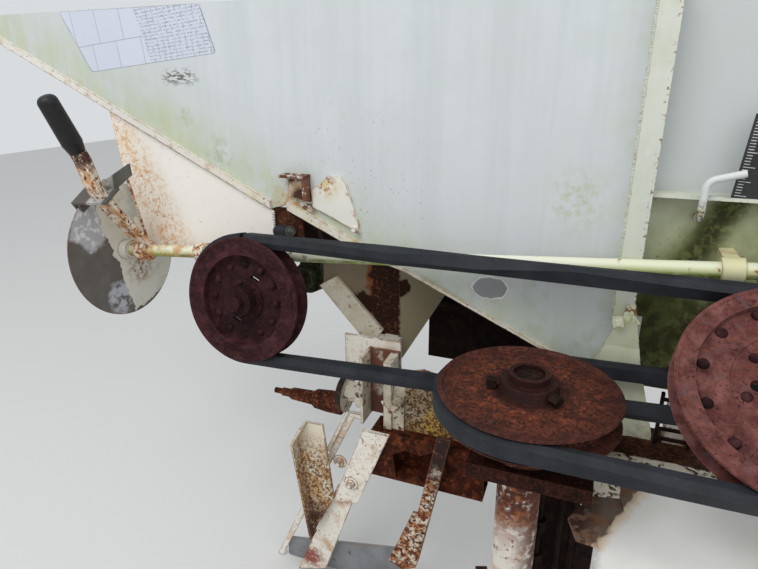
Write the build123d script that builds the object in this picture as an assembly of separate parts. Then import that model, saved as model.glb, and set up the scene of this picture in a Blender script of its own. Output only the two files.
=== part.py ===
from build123d import *
import math
import os

# Belt drive end section of a pull-type fertilizer spreader, in millimetres.
# X runs along the hopper's end wall, +Y goes into the machine and +Z is up.
# The origin is the middle of the mounting pad on the back of the end wall.

# sheet and wall
sheet = 3.0
pad_depth = 6.0
pad_width = 120.0
pad_height = 80.0
pad_bolt_x = 88.0
pad_bolt_z = 44.0
pad_bolt_radius = 5.5
wall_back = -pad_depth
wall_front = wall_back - sheet
wall_left = -750.0
wall_top = 300.0
edge_start_z = 265.0
notch_x = -262.0
notch_z = 29.0
lip_start_x = -235.0
lip_start_z = 37.0
foot_x = 150.0
foot_z = -136.0
window_left = 230.0
window_right = 400.0
wall_right = 440.0
wall_bottom = -152.0
right_bottom = -100.0
panel_bottom = -168.0
flange_width = 10.0
flange_depth = 5.0
lip_rise = 5.0
lip_depth = 5.0
lip_drop = 8.0
side_depth = 205.0

# gate window
rib_width = 22.0
rib_depth = 16.0
rib_foot_z = -66.0
foot_sheet = 4.0
foot_step = 6.0
sill_top = 83.0
sill_thickness = 4.0
sill_overhang = 3.0
recess_depth = 18.0
pointer_radius = 4.0
pointer_x = 280.0
pointer_rise = 92.0
pointer_reach = 35.0

# torque bar and rate lever
bar_radius = 9.2
bar_x = -473.0
bar_y = -35.0
bar_z = -49.0
bar_tilt = 4.3
bar_left = -66.0
bar_right = 834.0
arm_width = 25.0
arm_thickness = 9.0
tang_radius = 8.0
arm_hub_radius = 16.0
arm_hub_length = 20.0
grip_radius = 14.0
grip_length = 80.0
dial_radius = 105.0
dial_sheet = 2.0
dial_offset = -56.0
hub_clearance = 0.05
pin_clearance = 0.1

# belt section, a double V belt
belt_width = 22.2
belt_height = 17.4
groove_angle = 19.0
belt_clearance = 0.5
loose_clearance = 0.9

# sheaves, with pitch radii
lip_height = 4.2
sheave_half = 15.5
top_run_y = -70.0
top_run_z = -2.0
drive_x = -267.0
drive_pitch = 84.0
drive_lean = 9.0
spin_x = 129.0
spin_y = -144.0
spin_z = -125.0
spin_pitch = 94.5
mule_x = 368.0
idler_x = 640.0
idler_y = -10.0
idler_z = -149.0
idler_pitch = 40.0
groove_run = 60.0

# shafts and bearings
drive_shaft_radius = 11.0
drive_shaft_front = 36.0
drive_shaft_back = 228.0
drive_bearing_back = 198.0
drive_bearing_depth = 34.0
drive_bearing_radius = 27.0
drive_collar_radius = 18.0
spin_shaft_radius = 12.0
spindle_radius = 25.0
spindle_flange_radius = 40.0
spindle_flange_height = 14.0
mule_pin_radius = 10.0
idler_pin_radius = 10.0
disc_radius = 150.0
disc_z = -560.0
spindle_bottom = disc_z + 40.0
disc_sheet = 5.0
vane_height = 38.0
vane_count = 4
vane_sheet = 4.0

# bracket that carries the spindle
bracket_top = -188.0
bracket_sheet = 6.0
bracket_left = 75.0
bracket_right = 206.0
bracket_front = -193.0
bracket_back = 35.0
bracket_bottom = -300.0
bracket_lip = 18.0

# lower frame
beam_top = -274.0
beam_front = -60.0
beam_depth = 40.0
beam_height = 78.0
post_left = -112.0
post_right = -64.0
post_top = -166.0
post_front = -50.0
post_back = -10.0
post_sheet = 4.0
rear_beam_front = -58.0
rear_beam_back = 25.0
rear_beam_top = -235.0
rear_beam_bottom = -300.0
right_post_left = 405.0
right_post_width = 30.0
deck_top = -240.0
deck_front = -330.0
deck_right = 430.0
strap_sheet = 6.0
bar_sheet = 4.0
chute_front = 35.0
chute_sheet = 3.0
chute_fold_x = -82.0
chute_top = 60.0
chute_bottom = -203.0
trough_y = 120.0
trough_right = 236.0


def save(shape, name):
    shape.label = name
    export_step(shape, f"parts/{name}.step")


def block(x0, x1, y0, y1, z0, z1):
    """A box between two corners."""
    return Pos((x0 + x1) / 2, (y0 + y1) / 2, (z0 + z1) / 2) * Box(x1 - x0, y1 - y0, z1 - z0)


def upright(points, y0, y1):
    """A plate whose outline is drawn in X and Z, from y0 to y1."""
    plane = Plane(origin=(0, y1, 0), x_dir=(1, 0, 0), z_dir=(0, -1, 0))
    return extrude(plane * make_face(Polyline(*points, close=True)), y1 - y0)


def flat(points, z0, z1):
    """A plate whose outline is drawn in X and Y, from z0 to z1."""
    return extrude(Plane.XY.offset(z0) * make_face(Polyline(*points, close=True)), z1 - z0)


def edge_z(x):
    """Height of the wall's sloping left edge."""
    return edge_start_z + (x - wall_left) * (notch_z - edge_start_z) / (notch_x - wall_left)


os.makedirs("parts", exist_ok=True)

# end wall
wall = upright(
    [
        (wall_left, wall_top),
        (wall_left, edge_start_z),
        (notch_x, notch_z),
        (lip_start_x, lip_start_z),
        (foot_x, foot_z),
        (window_left + rib_width / 2, wall_bottom),
        (window_left + rib_width / 2, rib_foot_z),
        (window_left, rib_foot_z),
        (window_left, wall_top),
    ],
    wall_front,
    wall_back,
)
wall += block(window_right, wall_right, wall_front, wall_back, right_bottom, wall_top)
save(wall, "end_wall")

pad = block(-pad_width / 2, pad_width / 2, wall_back, 0, -pad_height / 2, pad_height / 2)
pad_holes = [
    Pos(x, wall_back / 2, z) * Rot(90, 0, 0) * Cylinder(pad_bolt_radius, pad_depth * 2)
    for x in (-pad_bolt_x / 2, pad_bolt_x / 2)
    for z in (-pad_bolt_z / 2, pad_bolt_z / 2)
]
save(pad - pad_holes, "mounting_pad")

edge_slope = math.atan2(notch_z - edge_start_z, notch_x - wall_left)
edge_rise = 1 / math.cos(edge_slope)
flange = upright(
    [
        (wall_left, edge_start_z),
        (notch_x, notch_z),
        (notch_x, notch_z + flange_width * edge_rise),
        (wall_left, edge_start_z + flange_width * edge_rise),
    ],
    wall_front - flange_depth,
    wall_front,
)
lip_slope = (foot_z - lip_start_z) / (foot_x - lip_start_x)
flange += upright(
    [
        (lip_start_x, lip_start_z - lip_drop),
        (-100, lip_start_z + lip_slope * (-100 - lip_start_x) - lip_drop),
        (-60, lip_start_z + lip_slope * (-60 - lip_start_x)),
        (foot_x, foot_z),
        (foot_x, foot_z + lip_rise),
        (lip_start_x, lip_start_z + lip_rise),
    ],
    wall_front - lip_depth,
    wall_front,
)
save(flange, "edge_flange")
# the hopper's sloping side meets the end wall along its left edge
side = upright(
    [
        (wall_left, edge_start_z),
        (notch_x, notch_z),
        (notch_x, notch_z - sheet * edge_rise),
        (wall_left, edge_start_z - sheet * edge_rise),
    ],
    wall_front,
    wall_front + side_depth,
)
save(side, "side_sheet")

leg = upright(
    [
        (-538, edge_z(-538) - sheet * edge_rise),
        (-531, 77),
        (-523, 38),
        (-508, -58),
        (notch_x, -34),
        (notch_x, notch_z - sheet * edge_rise),
    ],
    wall_front,
    wall_back,
)
save(leg, "leg_plate")

# gate window
panel_front = wall_back + recess_depth
ribs = block(window_left - rib_width, window_left, wall_front - rib_depth, wall_front, rib_foot_z, wall_top)
ribs += block(
    window_right, window_right + rib_width, wall_front - rib_depth, wall_front, right_bottom,
    wall_top,
)
save(ribs, "wall_ribs")
rib_front = wall_front - rib_depth
# the foot is one folded plate, which leans back under the rib to stand on the rear beam
foot_outline = [
    (window_left - 7, rib_foot_z + 21),
    (window_left + 1, rib_foot_z + 21),
    (window_left + 19, wall_bottom + 19),
    (window_left + 32, wall_bottom - 28),
    (window_left + 44, rear_beam_top + 11),
    (window_left + 44, rear_beam_top),
    (window_left + 11, rear_beam_top),
    (window_left - 10, rear_beam_top + 43),
    (window_left - 36, wall_bottom + 21),
]
foot_fold = rib_foot_z - 38
foot_profile = [
    (rib_front - foot_sheet, rib_foot_z + 30),
    (rib_front - foot_sheet, rib_foot_z),
    (rib_front + foot_step, foot_fold),
    (rib_front + 15, rear_beam_top - 1),
]
foot_profile += [(y + foot_sheet, z) for y, z in reversed(foot_profile)]
folded = Plane.YZ.offset(window_left - 60) * make_face(Polyline(*foot_profile, close=True))
foot = upright(foot_outline, rib_front - 20, panel_front) & extrude(folded, 120)
foot += block(
    window_left - rib_width, window_left + rib_width / 2, rib_front + 10, wall_front, wall_bottom + 7,
    foot_fold,
)
save(foot, "rib_foot")
post_x = window_left + 58
save(block(post_x, post_x + 24, wall_back, panel_front, rear_beam_top, panel_bottom), "window_post")
jamb = block(window_left - sheet, window_left, wall_back, panel_front, wall_bottom + 60, wall_top)
jamb += block(window_right, window_right + sheet, wall_back, panel_front, right_bottom, wall_top)
save(jamb, "window_jambs")
panel_back = panel_front + sheet
sill_bottom = sill_top - sill_thickness
save(
    block(window_left - sheet, window_right + sheet, panel_front, panel_back, sill_top, wall_top),
    "upper_panel",
)
save(
    block(window_left - sheet, window_right + sheet, panel_front, panel_back, panel_bottom, sill_bottom),
    "lower_panel",
)
save(
    block(window_left, window_right, wall_front - sill_overhang, panel_back, sill_bottom, sill_top),
    "window_sill",
)
scale_strip = upright(
    [(306, sill_top), (336, sill_top), (343, sill_top + 86), (313, sill_top + 86)],
    wall_front - 2,
    wall_front,
)
save(scale_strip, "scale_strip")
pointer_y = wall_front - sill_overhang - pointer_radius - 0.3
pointer_path = FilletPolyline(
    (pointer_x, panel_front, sill_top - 26),
    (pointer_x, pointer_y, sill_top - 26),
    (pointer_x, pointer_y, pointer_rise + 8),
    (pointer_x + pointer_reach, pointer_y, pointer_rise + 18),
    radius=12,
)
pointer = sweep(
    Plane(origin=pointer_path @ 0, z_dir=pointer_path % 0) * Circle(pointer_radius),
    path=pointer_path,
)
save(pointer, "pointer_rod")

# torque bar and rate lever, built along X and then tilted
bar_place = Pos(bar_x, bar_y, bar_z) * Rot(0, -bar_tilt, 0)


def along(radius, x0, x1):
    """A cylinder on the bar's own axis."""
    return Pos((x0 + x1) / 2, 0, 0) * Rot(0, 90, 0) * Cylinder(radius, x1 - x0)


save(bar_place * along(bar_radius, bar_left, bar_right), "torque_bar")

# the arm is a bent flat bar, with a round tang for the grip
arm_x = -12.0
arm_points = [
    (arm_x, 0, 0), (arm_x, -6, 20), (arm_x, -43, 68), (arm_x, -68, 110), (arm_x, -76, 150),
    (arm_x, -81, 162.7),
]
arm_path = FilletPolyline(*arm_points, radius=[18, 30, 30, 16])
arm_start = Plane(origin=arm_path @ 0, x_dir=(1, 0, 0), z_dir=arm_path % 0)
arm = sweep(arm_start * Rectangle(arm_width, arm_thickness), path=arm_path)
grip_start = Vector(*arm_points[-1])
grip_way = (grip_start - Vector(*arm_points[-2])).normalized()
grip_place = Plane(origin=grip_start, z_dir=grip_way).location
tang_length = 68.0
arm += grip_place * Cylinder(tang_radius, tang_length, align=(Align.CENTER, Align.CENTER, Align.MIN))
arm += along(arm_hub_radius, arm_x - arm_hub_length / 2, arm_x + arm_hub_length / 2)
arm -= along(bar_radius + hub_clearance, -60, 40)
save(bar_place * arm, "lever_arm")

grip_hole = tang_length + 0.3
grip_bore = tang_radius + hub_clearance
grip_points = [(grip_bore, 0), (grip_radius - 3, 0), (grip_radius, 14), (grip_radius - 1, grip_length)]
grip_points += [(0, grip_length), (0, grip_hole), (grip_bore, grip_hole)]
grip = revolve(Plane.XZ * make_face(Polyline(*grip_points, close=True)), Axis.Z)
grip = fillet(grip.edges().filter_by(GeomType.CIRCLE).sort_by(Axis.Z)[-1], grip_radius - 5)
save(bar_place * (grip_place * grip), "lever_grip")

# bent clamp that holds the arm to the dial's rim
clamp_angle = 120.0
clamp_gap = 1.0
clamp_sheet = 4.0
clamp_half = 17.0
clamp_low = dial_radius - 9
clamp_high = dial_radius + 5
clamp_right = 6.0
dial_right = dial_offset + dial_sheet
clamp_back = dial_offset - clamp_gap - clamp_sheet
clamp = block(clamp_back, clamp_right, clamp_high, clamp_high + clamp_sheet, -clamp_half, clamp_half)
for x in (clamp_back, dial_right + clamp_gap):
    clamp += block(x, x + clamp_sheet, clamp_low, clamp_high, -clamp_half, clamp_half)
clamp = Rot(clamp_angle, 0, 0) * clamp
# its elbow starts at the bent end of the clamp, where the dial's rim puts it
elbow_low = clamp_high - 10
elbow_back = clamp_high * math.cos(math.radians(clamp_angle)) + 11
elbow_points = [
    (-20, elbow_low), (-8, elbow_low), (35, elbow_low + 24), (35, elbow_low + 40), (-20, elbow_low + 16),
]
clamp += upright(elbow_points, elbow_back, elbow_back + clamp_sheet)
clamp -= arm
save(bar_place * clamp, "lever_clamp")

collar_x = 101.0
collar = along(14, collar_x - 9, collar_x + 9) - along(
    bar_radius + hub_clearance,
    collar_x - 10,
    collar_x + 10,
)
save(bar_place * collar, "bar_collar")

crank_x = bar_right - 10.0
crank_length = 45.0
crank_width = 9.0
crank = along(15, crank_x - 7, crank_x + 7)
crank += Pos(crank_x, 0, 0) * block(-3, 3, -crank_width, crank_width, -crank_length, 0)
crank += Pos(crank_x, 0, -crank_length) * Rot(0, 90, 0) * Cylinder(crank_width, 6)
crank -= Pos(crank_x, 0, -crank_length) * Rot(0, 90, 0) * Cylinder(4.5, 20)
crank -= along(bar_radius + hub_clearance, crank_x - 8, crank_x + 8)
save(bar_place * crank, "gate_crank")

# the dial stands across the bar and is held to the leg plate
dial = along(dial_radius, dial_offset, dial_right) - along(
    bar_radius + pin_clearance,
    dial_offset - 1,
    dial_right + 1,
)
dial += along(15, dial_right, dial_right + 16) - along(
    bar_radius + pin_clearance,
    dial_offset - 1,
    dial_right + 20,
)
save(bar_place * dial, "dial_disc")
leg_back = wall_back - bar_y
dial_bracket = block(dial_right, dial_right + sheet, leg_back, leg_back + 22, 20, 48)
dial_bracket += block(dial_right, dial_right + 50, leg_back, leg_back + sheet, 20, 48)
save(bar_place * dial_bracket, "dial_bracket")

# sleeve that carries the bar's right end, on an arm from the lower panel
sleeve_x = 792.0
sleeve = along(14, sleeve_x - 11, sleeve_x + 11)
sleeve += block(sleeve_x - 8, sleeve_x + 8, 0, panel_front - bar_y, -12, 12)
sleeve -= along(bar_radius + pin_clearance, sleeve_x - 12, sleeve_x + 12)
save(bar_place * sleeve, "bar_sleeve")

# sheaves
slope = math.tan(math.radians(groove_angle))
flat_half = belt_width / 2 - slope * belt_height / 2


def sheave(pitch, clearance, steps, web, hub, hub_top, hub_bottom, bore):
    """A pressed V sheave about Z, whose face steps down from the rim to the web."""
    rim = pitch + lip_height
    floor = pitch - belt_height / 2 - clearance - 2
    wide = belt_width / 2 + clearance + slope * lip_height
    narrow = belt_width / 2 + clearance - slope * (pitch - floor)
    front = []
    height = sheave_half - 1.5
    for radius, lower in steps:
        front += [(radius, height), (radius - 1.5, lower)]
        height = lower
    points = [(bore, hub_bottom), (hub, hub_bottom), (hub, -web), (steps[-1][0] - 6, -web)]
    points += [(floor - 4, -narrow - 3), (rim - 1, -sheave_half), (rim, -wide), (floor, -narrow)]
    points += [
        (floor, narrow),
        (rim, wide),
        (rim - 1, sheave_half),
        (rim - 4, sheave_half),
        (rim - 5.5, sheave_half - 1.5),
    ]
    points += front + [
        (hub + 9, height),
        (hub + 9, height + 4),
        (hub, height + 4),
        (hub, hub_top),
        (bore, hub_top),
    ]
    return revolve(Plane.XZ * make_face(Polyline(*points, close=True)), Axis.Z)


def turned(center, axis):
    """Places a piece built about Z on a centre and an axis, with its X along the wall."""
    return Plane(origin=center, x_dir=(1, 0, 0), z_dir=axis).location


# the drive pulley leans back, so its plane still holds the top run
lean = math.radians(drive_lean)
drive_axis = Vector(0, -math.cos(lean), math.sin(lean))
drive_up = Vector(0, math.sin(lean), math.cos(lean))
drive_center = Vector(drive_x, top_run_y, top_run_z) - drive_up * drive_pitch
drive_place = turned(drive_center, drive_axis)
drive_bore = drive_shaft_radius + hub_clearance
drive_steps = [(0.76 * drive_pitch, 4.0)]
pulley = sheave(drive_pitch, belt_clearance, drive_steps, 4, 20, 24, -20, drive_bore)
slot = Pos(34, 0, 0) * Box(5, 14, 40)
pulley -= [Rot(0, 0, a) * slot for a in (65, 245)]
save(drive_place * pulley, "drive_pulley")
drive_shaft = Cylinder(drive_shaft_radius, drive_shaft_front + drive_shaft_back)
save(drive_place * Pos(0, 0, (drive_shaft_front - drive_shaft_back) / 2) * drive_shaft, "drive_shaft")

spin_center = Vector(spin_x, spin_y, spin_z)
spin_place = Pos(*spin_center)
outer = spin_pitch + lip_height
floor_r = spin_pitch - belt_height / 2 - belt_clearance - 2
wide = belt_width / 2 + belt_clearance + slope * lip_height
narrow = belt_width / 2 + belt_clearance - slope * (spin_pitch - floor_r)
spin_points = [
    (spin_shaft_radius + hub_clearance, -sheave_half),
    (30, -sheave_half),
    (36, -6),
    (floor_r - 14, -6),
    (floor_r - 5, -sheave_half),
    (outer - 1, -sheave_half),
    (outer, -wide),
    (floor_r, -narrow),
    (floor_r, narrow),
    (outer, wide),
    (outer - 1, sheave_half),
    (outer - 5, sheave_half),
    (outer - 8, sheave_half - 3),
    (34, sheave_half - 3),
    (30, sheave_half + 9),
    (22, sheave_half + 9),
    (22, sheave_half + 18),
    (17, sheave_half + 18),
    (17, sheave_half + 12),
    (spin_shaft_radius + hub_clearance, sheave_half + 12),
]
spinner_pulley = revolve(Plane.XZ * make_face(Polyline(*spin_points, close=True)), Axis.Z)
save(spin_place * spinner_pulley, "spinner_pulley")
shaft_top = spin_z + sheave_half + 15
shaft_bottom = disc_z - disc_sheet - 14
spinner_shaft = Pos(spin_x, spin_y, (shaft_top + shaft_bottom) / 2) * Cylinder(
    spin_shaft_radius,
    shaft_top - shaft_bottom,
)
save(spinner_shaft, "spinner_shaft")

# the mule sheave's plane holds the top run and the front run of the belt
front_run_y = spin_y - spin_pitch
mule_span = Vector(0, top_run_y - front_run_y, top_run_z - spin_z)
mule_pitch = mule_span.length / 2
mule_center = Vector(mule_x, (top_run_y + front_run_y) / 2, (top_run_z + spin_z) / 2)
mule_axis = Vector(0, -mule_span.Z, mule_span.Y).normalized()
mule_place = turned(mule_center, mule_axis)
mule_steps = [(0.86 * mule_pitch, 7.0), (0.58 * mule_pitch, 5.0)]
mule = sheave(mule_pitch, belt_clearance, mule_steps, 4, 22, 22, -22, mule_pin_radius + pin_clearance)
mule -= Pos(-0.36 * mule_pitch, 0, 0) * Cylinder(6, 60)
save(mule_place * mule, "mule_sheave")

idler_center = Vector(idler_x, idler_y, idler_z)
idler_steps = [(0.74 * idler_pitch, 5.0)]
idler = sheave(idler_pitch, loose_clearance, idler_steps, 5, 18, 22, -22, idler_pin_radius + pin_clearance)
save(Pos(*idler_center) * idler, "idler_sheave")

# belt: four arcs on the sheaves and four straight runs


def section(point, way, across):
    """The belt's six-sided section at a point, facing along the run."""
    half = belt_height / 2
    outline = [
        (belt_width / 2, 0),
        (flat_half, half),
        (-flat_half, half),
        (-belt_width / 2, 0),
        (-flat_half, -half),
        (flat_half, -half),
    ]
    plane = Plane(origin=point, x_dir=across, z_dir=way)
    return plane * make_face(Polyline(*outline, close=True))


def run(start, start_way, start_across, end, end_way, end_across, steps):
    """A straight run, twisted evenly from one sheave's plane to the next."""
    faces = []
    for i in range(steps + 1):
        t = i / steps
        way = start_way * (1 - t) + end_way * t if i in (0, steps) else (end - start).normalized()
        across = (start_across * (1 - t) + end_across * t).normalized()
        across = (across - way * across.dot(way)).normalized()
        faces.append(section(start + (end - start) * t, way, across))
    return loft(faces, ruled=True)


x_way = Vector(1, 0, 0)
up = Vector(0, 0, 1)
mule_reach = mule_span.normalized() * mule_pitch
top_start = drive_center + drive_up * drive_pitch
top_end = mule_center + mule_reach
front_start = mule_center - mule_reach
front_end = Vector(spin_x, front_run_y, spin_z)

gap_x = idler_x - spin_x
gap_y = idler_y - spin_y
back_angle = math.atan2(gap_y, gap_x) + math.acos((spin_pitch - idler_pitch) / math.hypot(gap_x, gap_y))
back_out = Vector(math.cos(back_angle), math.sin(back_angle), 0)
back_start = spin_center + back_out * spin_pitch
back_end = idler_center + back_out * idler_pitch
back_way = Vector(math.sin(back_angle), -math.cos(back_angle), 0)

# the low run leaves the drive pulley in its plane and then bends back to the idler
low_fall = (drive_center - idler_center).dot(drive_up)
low_reach = idler_x - drive_x
low_angle = math.asin(drive_pitch / math.hypot(low_reach, low_fall)) - math.atan2(low_fall, low_reach)
low_out = x_way * math.sin(low_angle) - drive_up * math.cos(low_angle)
low_end = drive_center + low_out * drive_pitch
low_way = x_way * -math.cos(low_angle) - drive_up * math.sin(low_angle)
low_bend = low_end - low_way * groove_run
bend_x = low_bend.X - idler_x
bend_y = low_bend.Y - idler_y
low_turn = math.atan2(bend_y, bend_x) + math.acos(idler_pitch / math.hypot(bend_x, bend_y))
low_start = idler_center + Vector(math.cos(low_turn), math.sin(low_turn), 0) * idler_pitch
low_leave = Vector(math.sin(low_turn), -math.cos(low_turn), 0)


def wrap(point, way, across, center, axis, angle):
    """The belt's arc round a sheave."""
    return revolve(section(point, way, across), Axis(center, axis), revolution_arc=angle)


mule_turn = wrap(top_end, x_way, mule_axis, mule_center, mule_axis * -1, 180)
spin_turn = wrap(front_end, -x_way, up, spin_center, up * -1, 270 - math.degrees(back_angle))
idler_turn = wrap(back_end, back_way, up, idler_center, up * -1, math.degrees(back_angle - low_turn))
drive_turn = wrap(low_end, low_way, -drive_axis, drive_center, -drive_axis, 180 - math.degrees(low_angle))
belt_runs = [
    run(top_start, x_way, -drive_axis, top_end, x_way, mule_axis, 6),
    run(front_start, -x_way, mule_axis, front_end, -x_way, up, 4),
    run(back_start, back_way, up, back_end, back_way, up, 1),
    run(low_start, low_leave, up, low_bend, low_way, -drive_axis, 9),
    run(low_bend, low_way, -drive_axis, low_end, low_way, -drive_axis, 1),
]
belt = mule_turn
for piece in [spin_turn, idler_turn, drive_turn] + belt_runs:
    belt = belt.fuse(piece)
save(belt, "drive_belt")

# bearings and carriers
housing = Cylinder(drive_bearing_radius, drive_bearing_depth)
housing += Pos(0, 0, drive_bearing_depth / 2 + 12) * Cylinder(drive_collar_radius, 24)
housing += block(-19, 19, 0, drive_bearing_radius + 16, -13, 13)
housing -= Cylinder(drive_shaft_radius + pin_clearance, 200)
bearing_center = drive_center - drive_axis * drive_bearing_back
save(turned(bearing_center, drive_axis) * housing, "drive_bearing")
hang_left = drive_x - 22
hang_right = drive_x + 2
hang_y = bearing_center.Y + math.sin(lean) * drive_bearing_radius
hanger = upright(
    [
        (hang_left, bearing_center.Z + 16),
        (drive_x + 19, bearing_center.Z + 16),
        (drive_x + 19, bearing_center.Z + 60),
        (hang_right, edge_z(hang_right) - sheet * edge_rise),
        (hang_left, edge_z(hang_left) - sheet * edge_rise),
    ],
    hang_y - 8,
    hang_y + 8,
)
seat = housing + Cylinder(drive_bearing_radius + 0.1, drive_bearing_depth + 60)
hanger -= turned(bearing_center, drive_axis) * seat
save(hanger, "bearing_hanger")
spindle_points = [
    (spin_shaft_radius + pin_clearance, bracket_top + spindle_flange_height),
    (28, bracket_top + spindle_flange_height),
    (30, bracket_top + 6),
    (spindle_flange_radius, bracket_top + 6),
    (spindle_flange_radius, bracket_top),
    (spindle_radius, bracket_top),
    (spindle_radius, spindle_bottom),
    (spin_shaft_radius + pin_clearance, spindle_bottom),
]
spindle = revolve(Plane.XZ * make_face(Polyline(*spindle_points, close=True)), Axis.Z)
save(Pos(spin_x, spin_y, 0) * spindle, "spindle_housing")

bracket = block(
    bracket_left, bracket_right, bracket_front, bracket_back, bracket_top - bracket_sheet,
    bracket_top,
)
bracket += block(
    bracket_left, bracket_right, bracket_front, bracket_front + bar_sheet,
    bracket_top - bracket_lip, bracket_top,
)
for x in (bracket_left, bracket_right - bracket_sheet):
    bracket += block(x, x + bracket_sheet, beam_front - 6, bracket_back, bracket_bottom, bracket_top)
bracket -= Pos(spin_x, spin_y, bracket_top) * Cylinder(spindle_radius + 0.3, 40)
save(bracket, "spindle_bracket")

# spinner disc with its vanes under the spindle
disc = Cylinder(disc_radius, disc_sheet, align=(Align.CENTER, Align.CENTER, Align.MAX))
disc += Cylinder(30, 14 + disc_sheet, align=(Align.CENTER, Align.CENTER, Align.MAX))
for i in range(vane_count):
    vane = block(34, disc_radius - 3, -vane_sheet / 2, vane_sheet / 2, 0, vane_height)
    vane += block(34, disc_radius - 3, -vane_sheet / 2, 16, vane_height - vane_sheet, vane_height)
    disc += Rot(0, 0, i * 360 / vane_count + 20) * vane
disc -= Cylinder(spin_shaft_radius + hub_clearance, 100)
save(Pos(spin_x, spin_y, disc_z) * disc, "spinner_disc")

# pin of the mule sheave, on an arm that reaches back to the outer rib
mule_pin = Pos(0, 0, -56) * Cylinder(mule_pin_radius, 86, align=(Align.CENTER, Align.CENTER, Align.MIN))
mule_pin += Pos(0, 0, 22.4) * Cylinder(15, 7.6, align=(Align.CENTER, Align.CENTER, Align.MIN))
save(mule_place * mule_pin, "mule_pin")
arm_in = -38.0
arm_out = -48.0
mule_arm = Pos(0, 0, arm_out) * Cylinder(24, 25.4, align=(Align.CENTER, Align.CENTER, Align.MIN))
arm_right = window_right + rib_width - mule_x
arm_left = window_right - mule_x
arm_outline = [(-20, -12), (20, -12), (arm_right, 100), (arm_right, 190), (arm_left, 190), (arm_left, 116)]
mule_arm += flat(arm_outline, arm_out, arm_in)
mule_arm -= Cylinder(mule_pin_radius + hub_clearance, 200)
mule_arm = mule_place * mule_arm
mule_arm -= block(mule_x - 100, mule_x + 200, rib_front, 300, -300, 300)
save(mule_arm, "mule_arm")

# idler pin on its arm, which reaches out from the rear beam
arm_top = rear_beam_top + 8
upwards = (Align.CENTER, Align.CENTER, Align.MIN)
idler_arm = block(right_post_left - 30, idler_x + 26, idler_y - 26, idler_y + 26, rear_beam_top, arm_top)
idler_arm += block(wall_right, idler_x + 26, idler_y - 4, idler_y + 4, rear_beam_top - 45, rear_beam_top)
save(idler_arm, "idler_arm")
idler_pin = Cylinder(idler_pin_radius, idler_z + 30 - arm_top, align=upwards)
idler_pin += Cylinder(17, idler_z - 22.4 - arm_top, align=upwards)
idler_pin += Pos(0, 0, idler_z + 22.4 - arm_top) * Cylinder(15, 7.6, align=upwards)
save(Pos(idler_x, idler_y, arm_top) * idler_pin, "idler_pin")

# front beam, a channel rusted through at its lower edge
beam_left = post_left + 20
beam_bottom = beam_top - beam_height
beam_back = beam_front + beam_depth
beam = block(beam_left, bracket_left, beam_front, beam_back, beam_bottom, beam_top)
beam -= block(
    beam_left - 1, bracket_left + 1, beam_front + bar_sheet, beam_back - bar_sheet,
    beam_bottom + bar_sheet, beam_top - bar_sheet,
)
torn = [
    (-59, -308), (-40, -296), (-18, -300), (4, -288), (2, -330), (-12, -344), (-20, -336),
    (-34, -347), (-53, -349),
]
beam -= upright(torn, beam_front - 1, beam_front + bar_sheet + 1)
save(beam, "front_beam")

# rear beam with the flange strip along its top edge
rear_beam = block(
    bracket_right, wall_right, rear_beam_front, rear_beam_back, rear_beam_bottom, rear_beam_top,
)
strip = [(228, -14), (356, -14), (356, 4), (300, 9), (228, 2)]
rear_beam += Pos(0, rear_beam_front, 0) * flat(strip, rear_beam_top, rear_beam_top + 2)
save(rear_beam, "rear_beam")
right_post_right = right_post_left + right_post_width
right_post = block(
    right_post_left, right_post_right, rear_beam_back, rear_beam_back + 30, rear_beam_bottom,
    60,
)
right_post += block(right_post_left, right_post_right, wall_back, rear_beam_back, 10, 50)
save(right_post, "right_post")

# channel post, open to the front, and the spacer bolted to its flange plate
post = block(post_left, post_right, post_front, post_back, beam_top, post_top)
post_inside = (post_left + post_sheet, post_right - post_sheet - 8)
post -= block(*post_inside, post_front - 1, post_back - post_sheet, beam_top - 1, post_top + 1)
ear_front = post_front + 4
post += block(post_right, post_right + 18, ear_front, ear_front + post_sheet, beam_top, beam_top + 56)
ear_back = ear_front + post_sheet
gusset_sheet = [
    (post_right, beam_top), (bracket_left, beam_top), (bracket_left, -190), (-20, -172), (-52, -182),
    (post_right, -212),
]
post += upright(gusset_sheet, ear_back, ear_back + bar_sheet)
post -= Pos(-90, 0, -257) * Rot(90, 0, 0) * Cylinder(5, 60)
spacer = Cylinder(9, 14) + Pos(0, 0, 9) * Cylinder(6, 4)
post += Pos(post_right + 10, ear_front - 7, beam_top + 46) * Rot(90, 0, 0) * spacer
save(post, "channel_post")

# discharge chute, a trough folded at its front, with a flange strip on its left edge
bracket_plate = block(-152, post_right, post_back, post_back + 4, -212, -152)
bracket_plate += block(-110, -76, post_back + 4, chute_front - bar_sheet, -168, -164)
bracket_plate += block(-104, -82, chute_front - bar_sheet, chute_front, -168, -164)
save(bracket_plate, "chute_bracket")
chute_outline = [
    (-206, chute_front),
    (chute_fold_x, chute_front),
    (-12, 98),
    (-14, 101),
    (chute_fold_x - 1, chute_front + chute_sheet),
    (-206, chute_front + chute_sheet),
]
chute = extrude(
    Plane.XY.offset(chute_bottom) * make_face(Polyline(*chute_outline, close=True)),
    chute_top - chute_bottom,
)
chute_shape = upright(
    [(-206, 60), (-206, -94), (-86, chute_bottom), (-78, chute_bottom), (-12, -84), (-12, 60)],
    0,
    200,
)
chute_plate = chute & chute_shape
save(chute_plate, "chute_plate")
chute_bar = upright(
    [(-211, -97), (-182, -79), (-107, -157), (-126, -191)],
    chute_front - 6,
    chute_front,
)
save(chute_bar, "chute_bar")
trough = upright(
    [
        (-12, 100), (trough_right, 100), (trough_right, rear_beam_top), (-60, rear_beam_top),
        (-60, -130), (-12, -96),
    ],
    trough_y,
    trough_y + sheet,
)
trough += block(-54, trough_right, trough_y - 24, trough_y, -140, -134)
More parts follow.
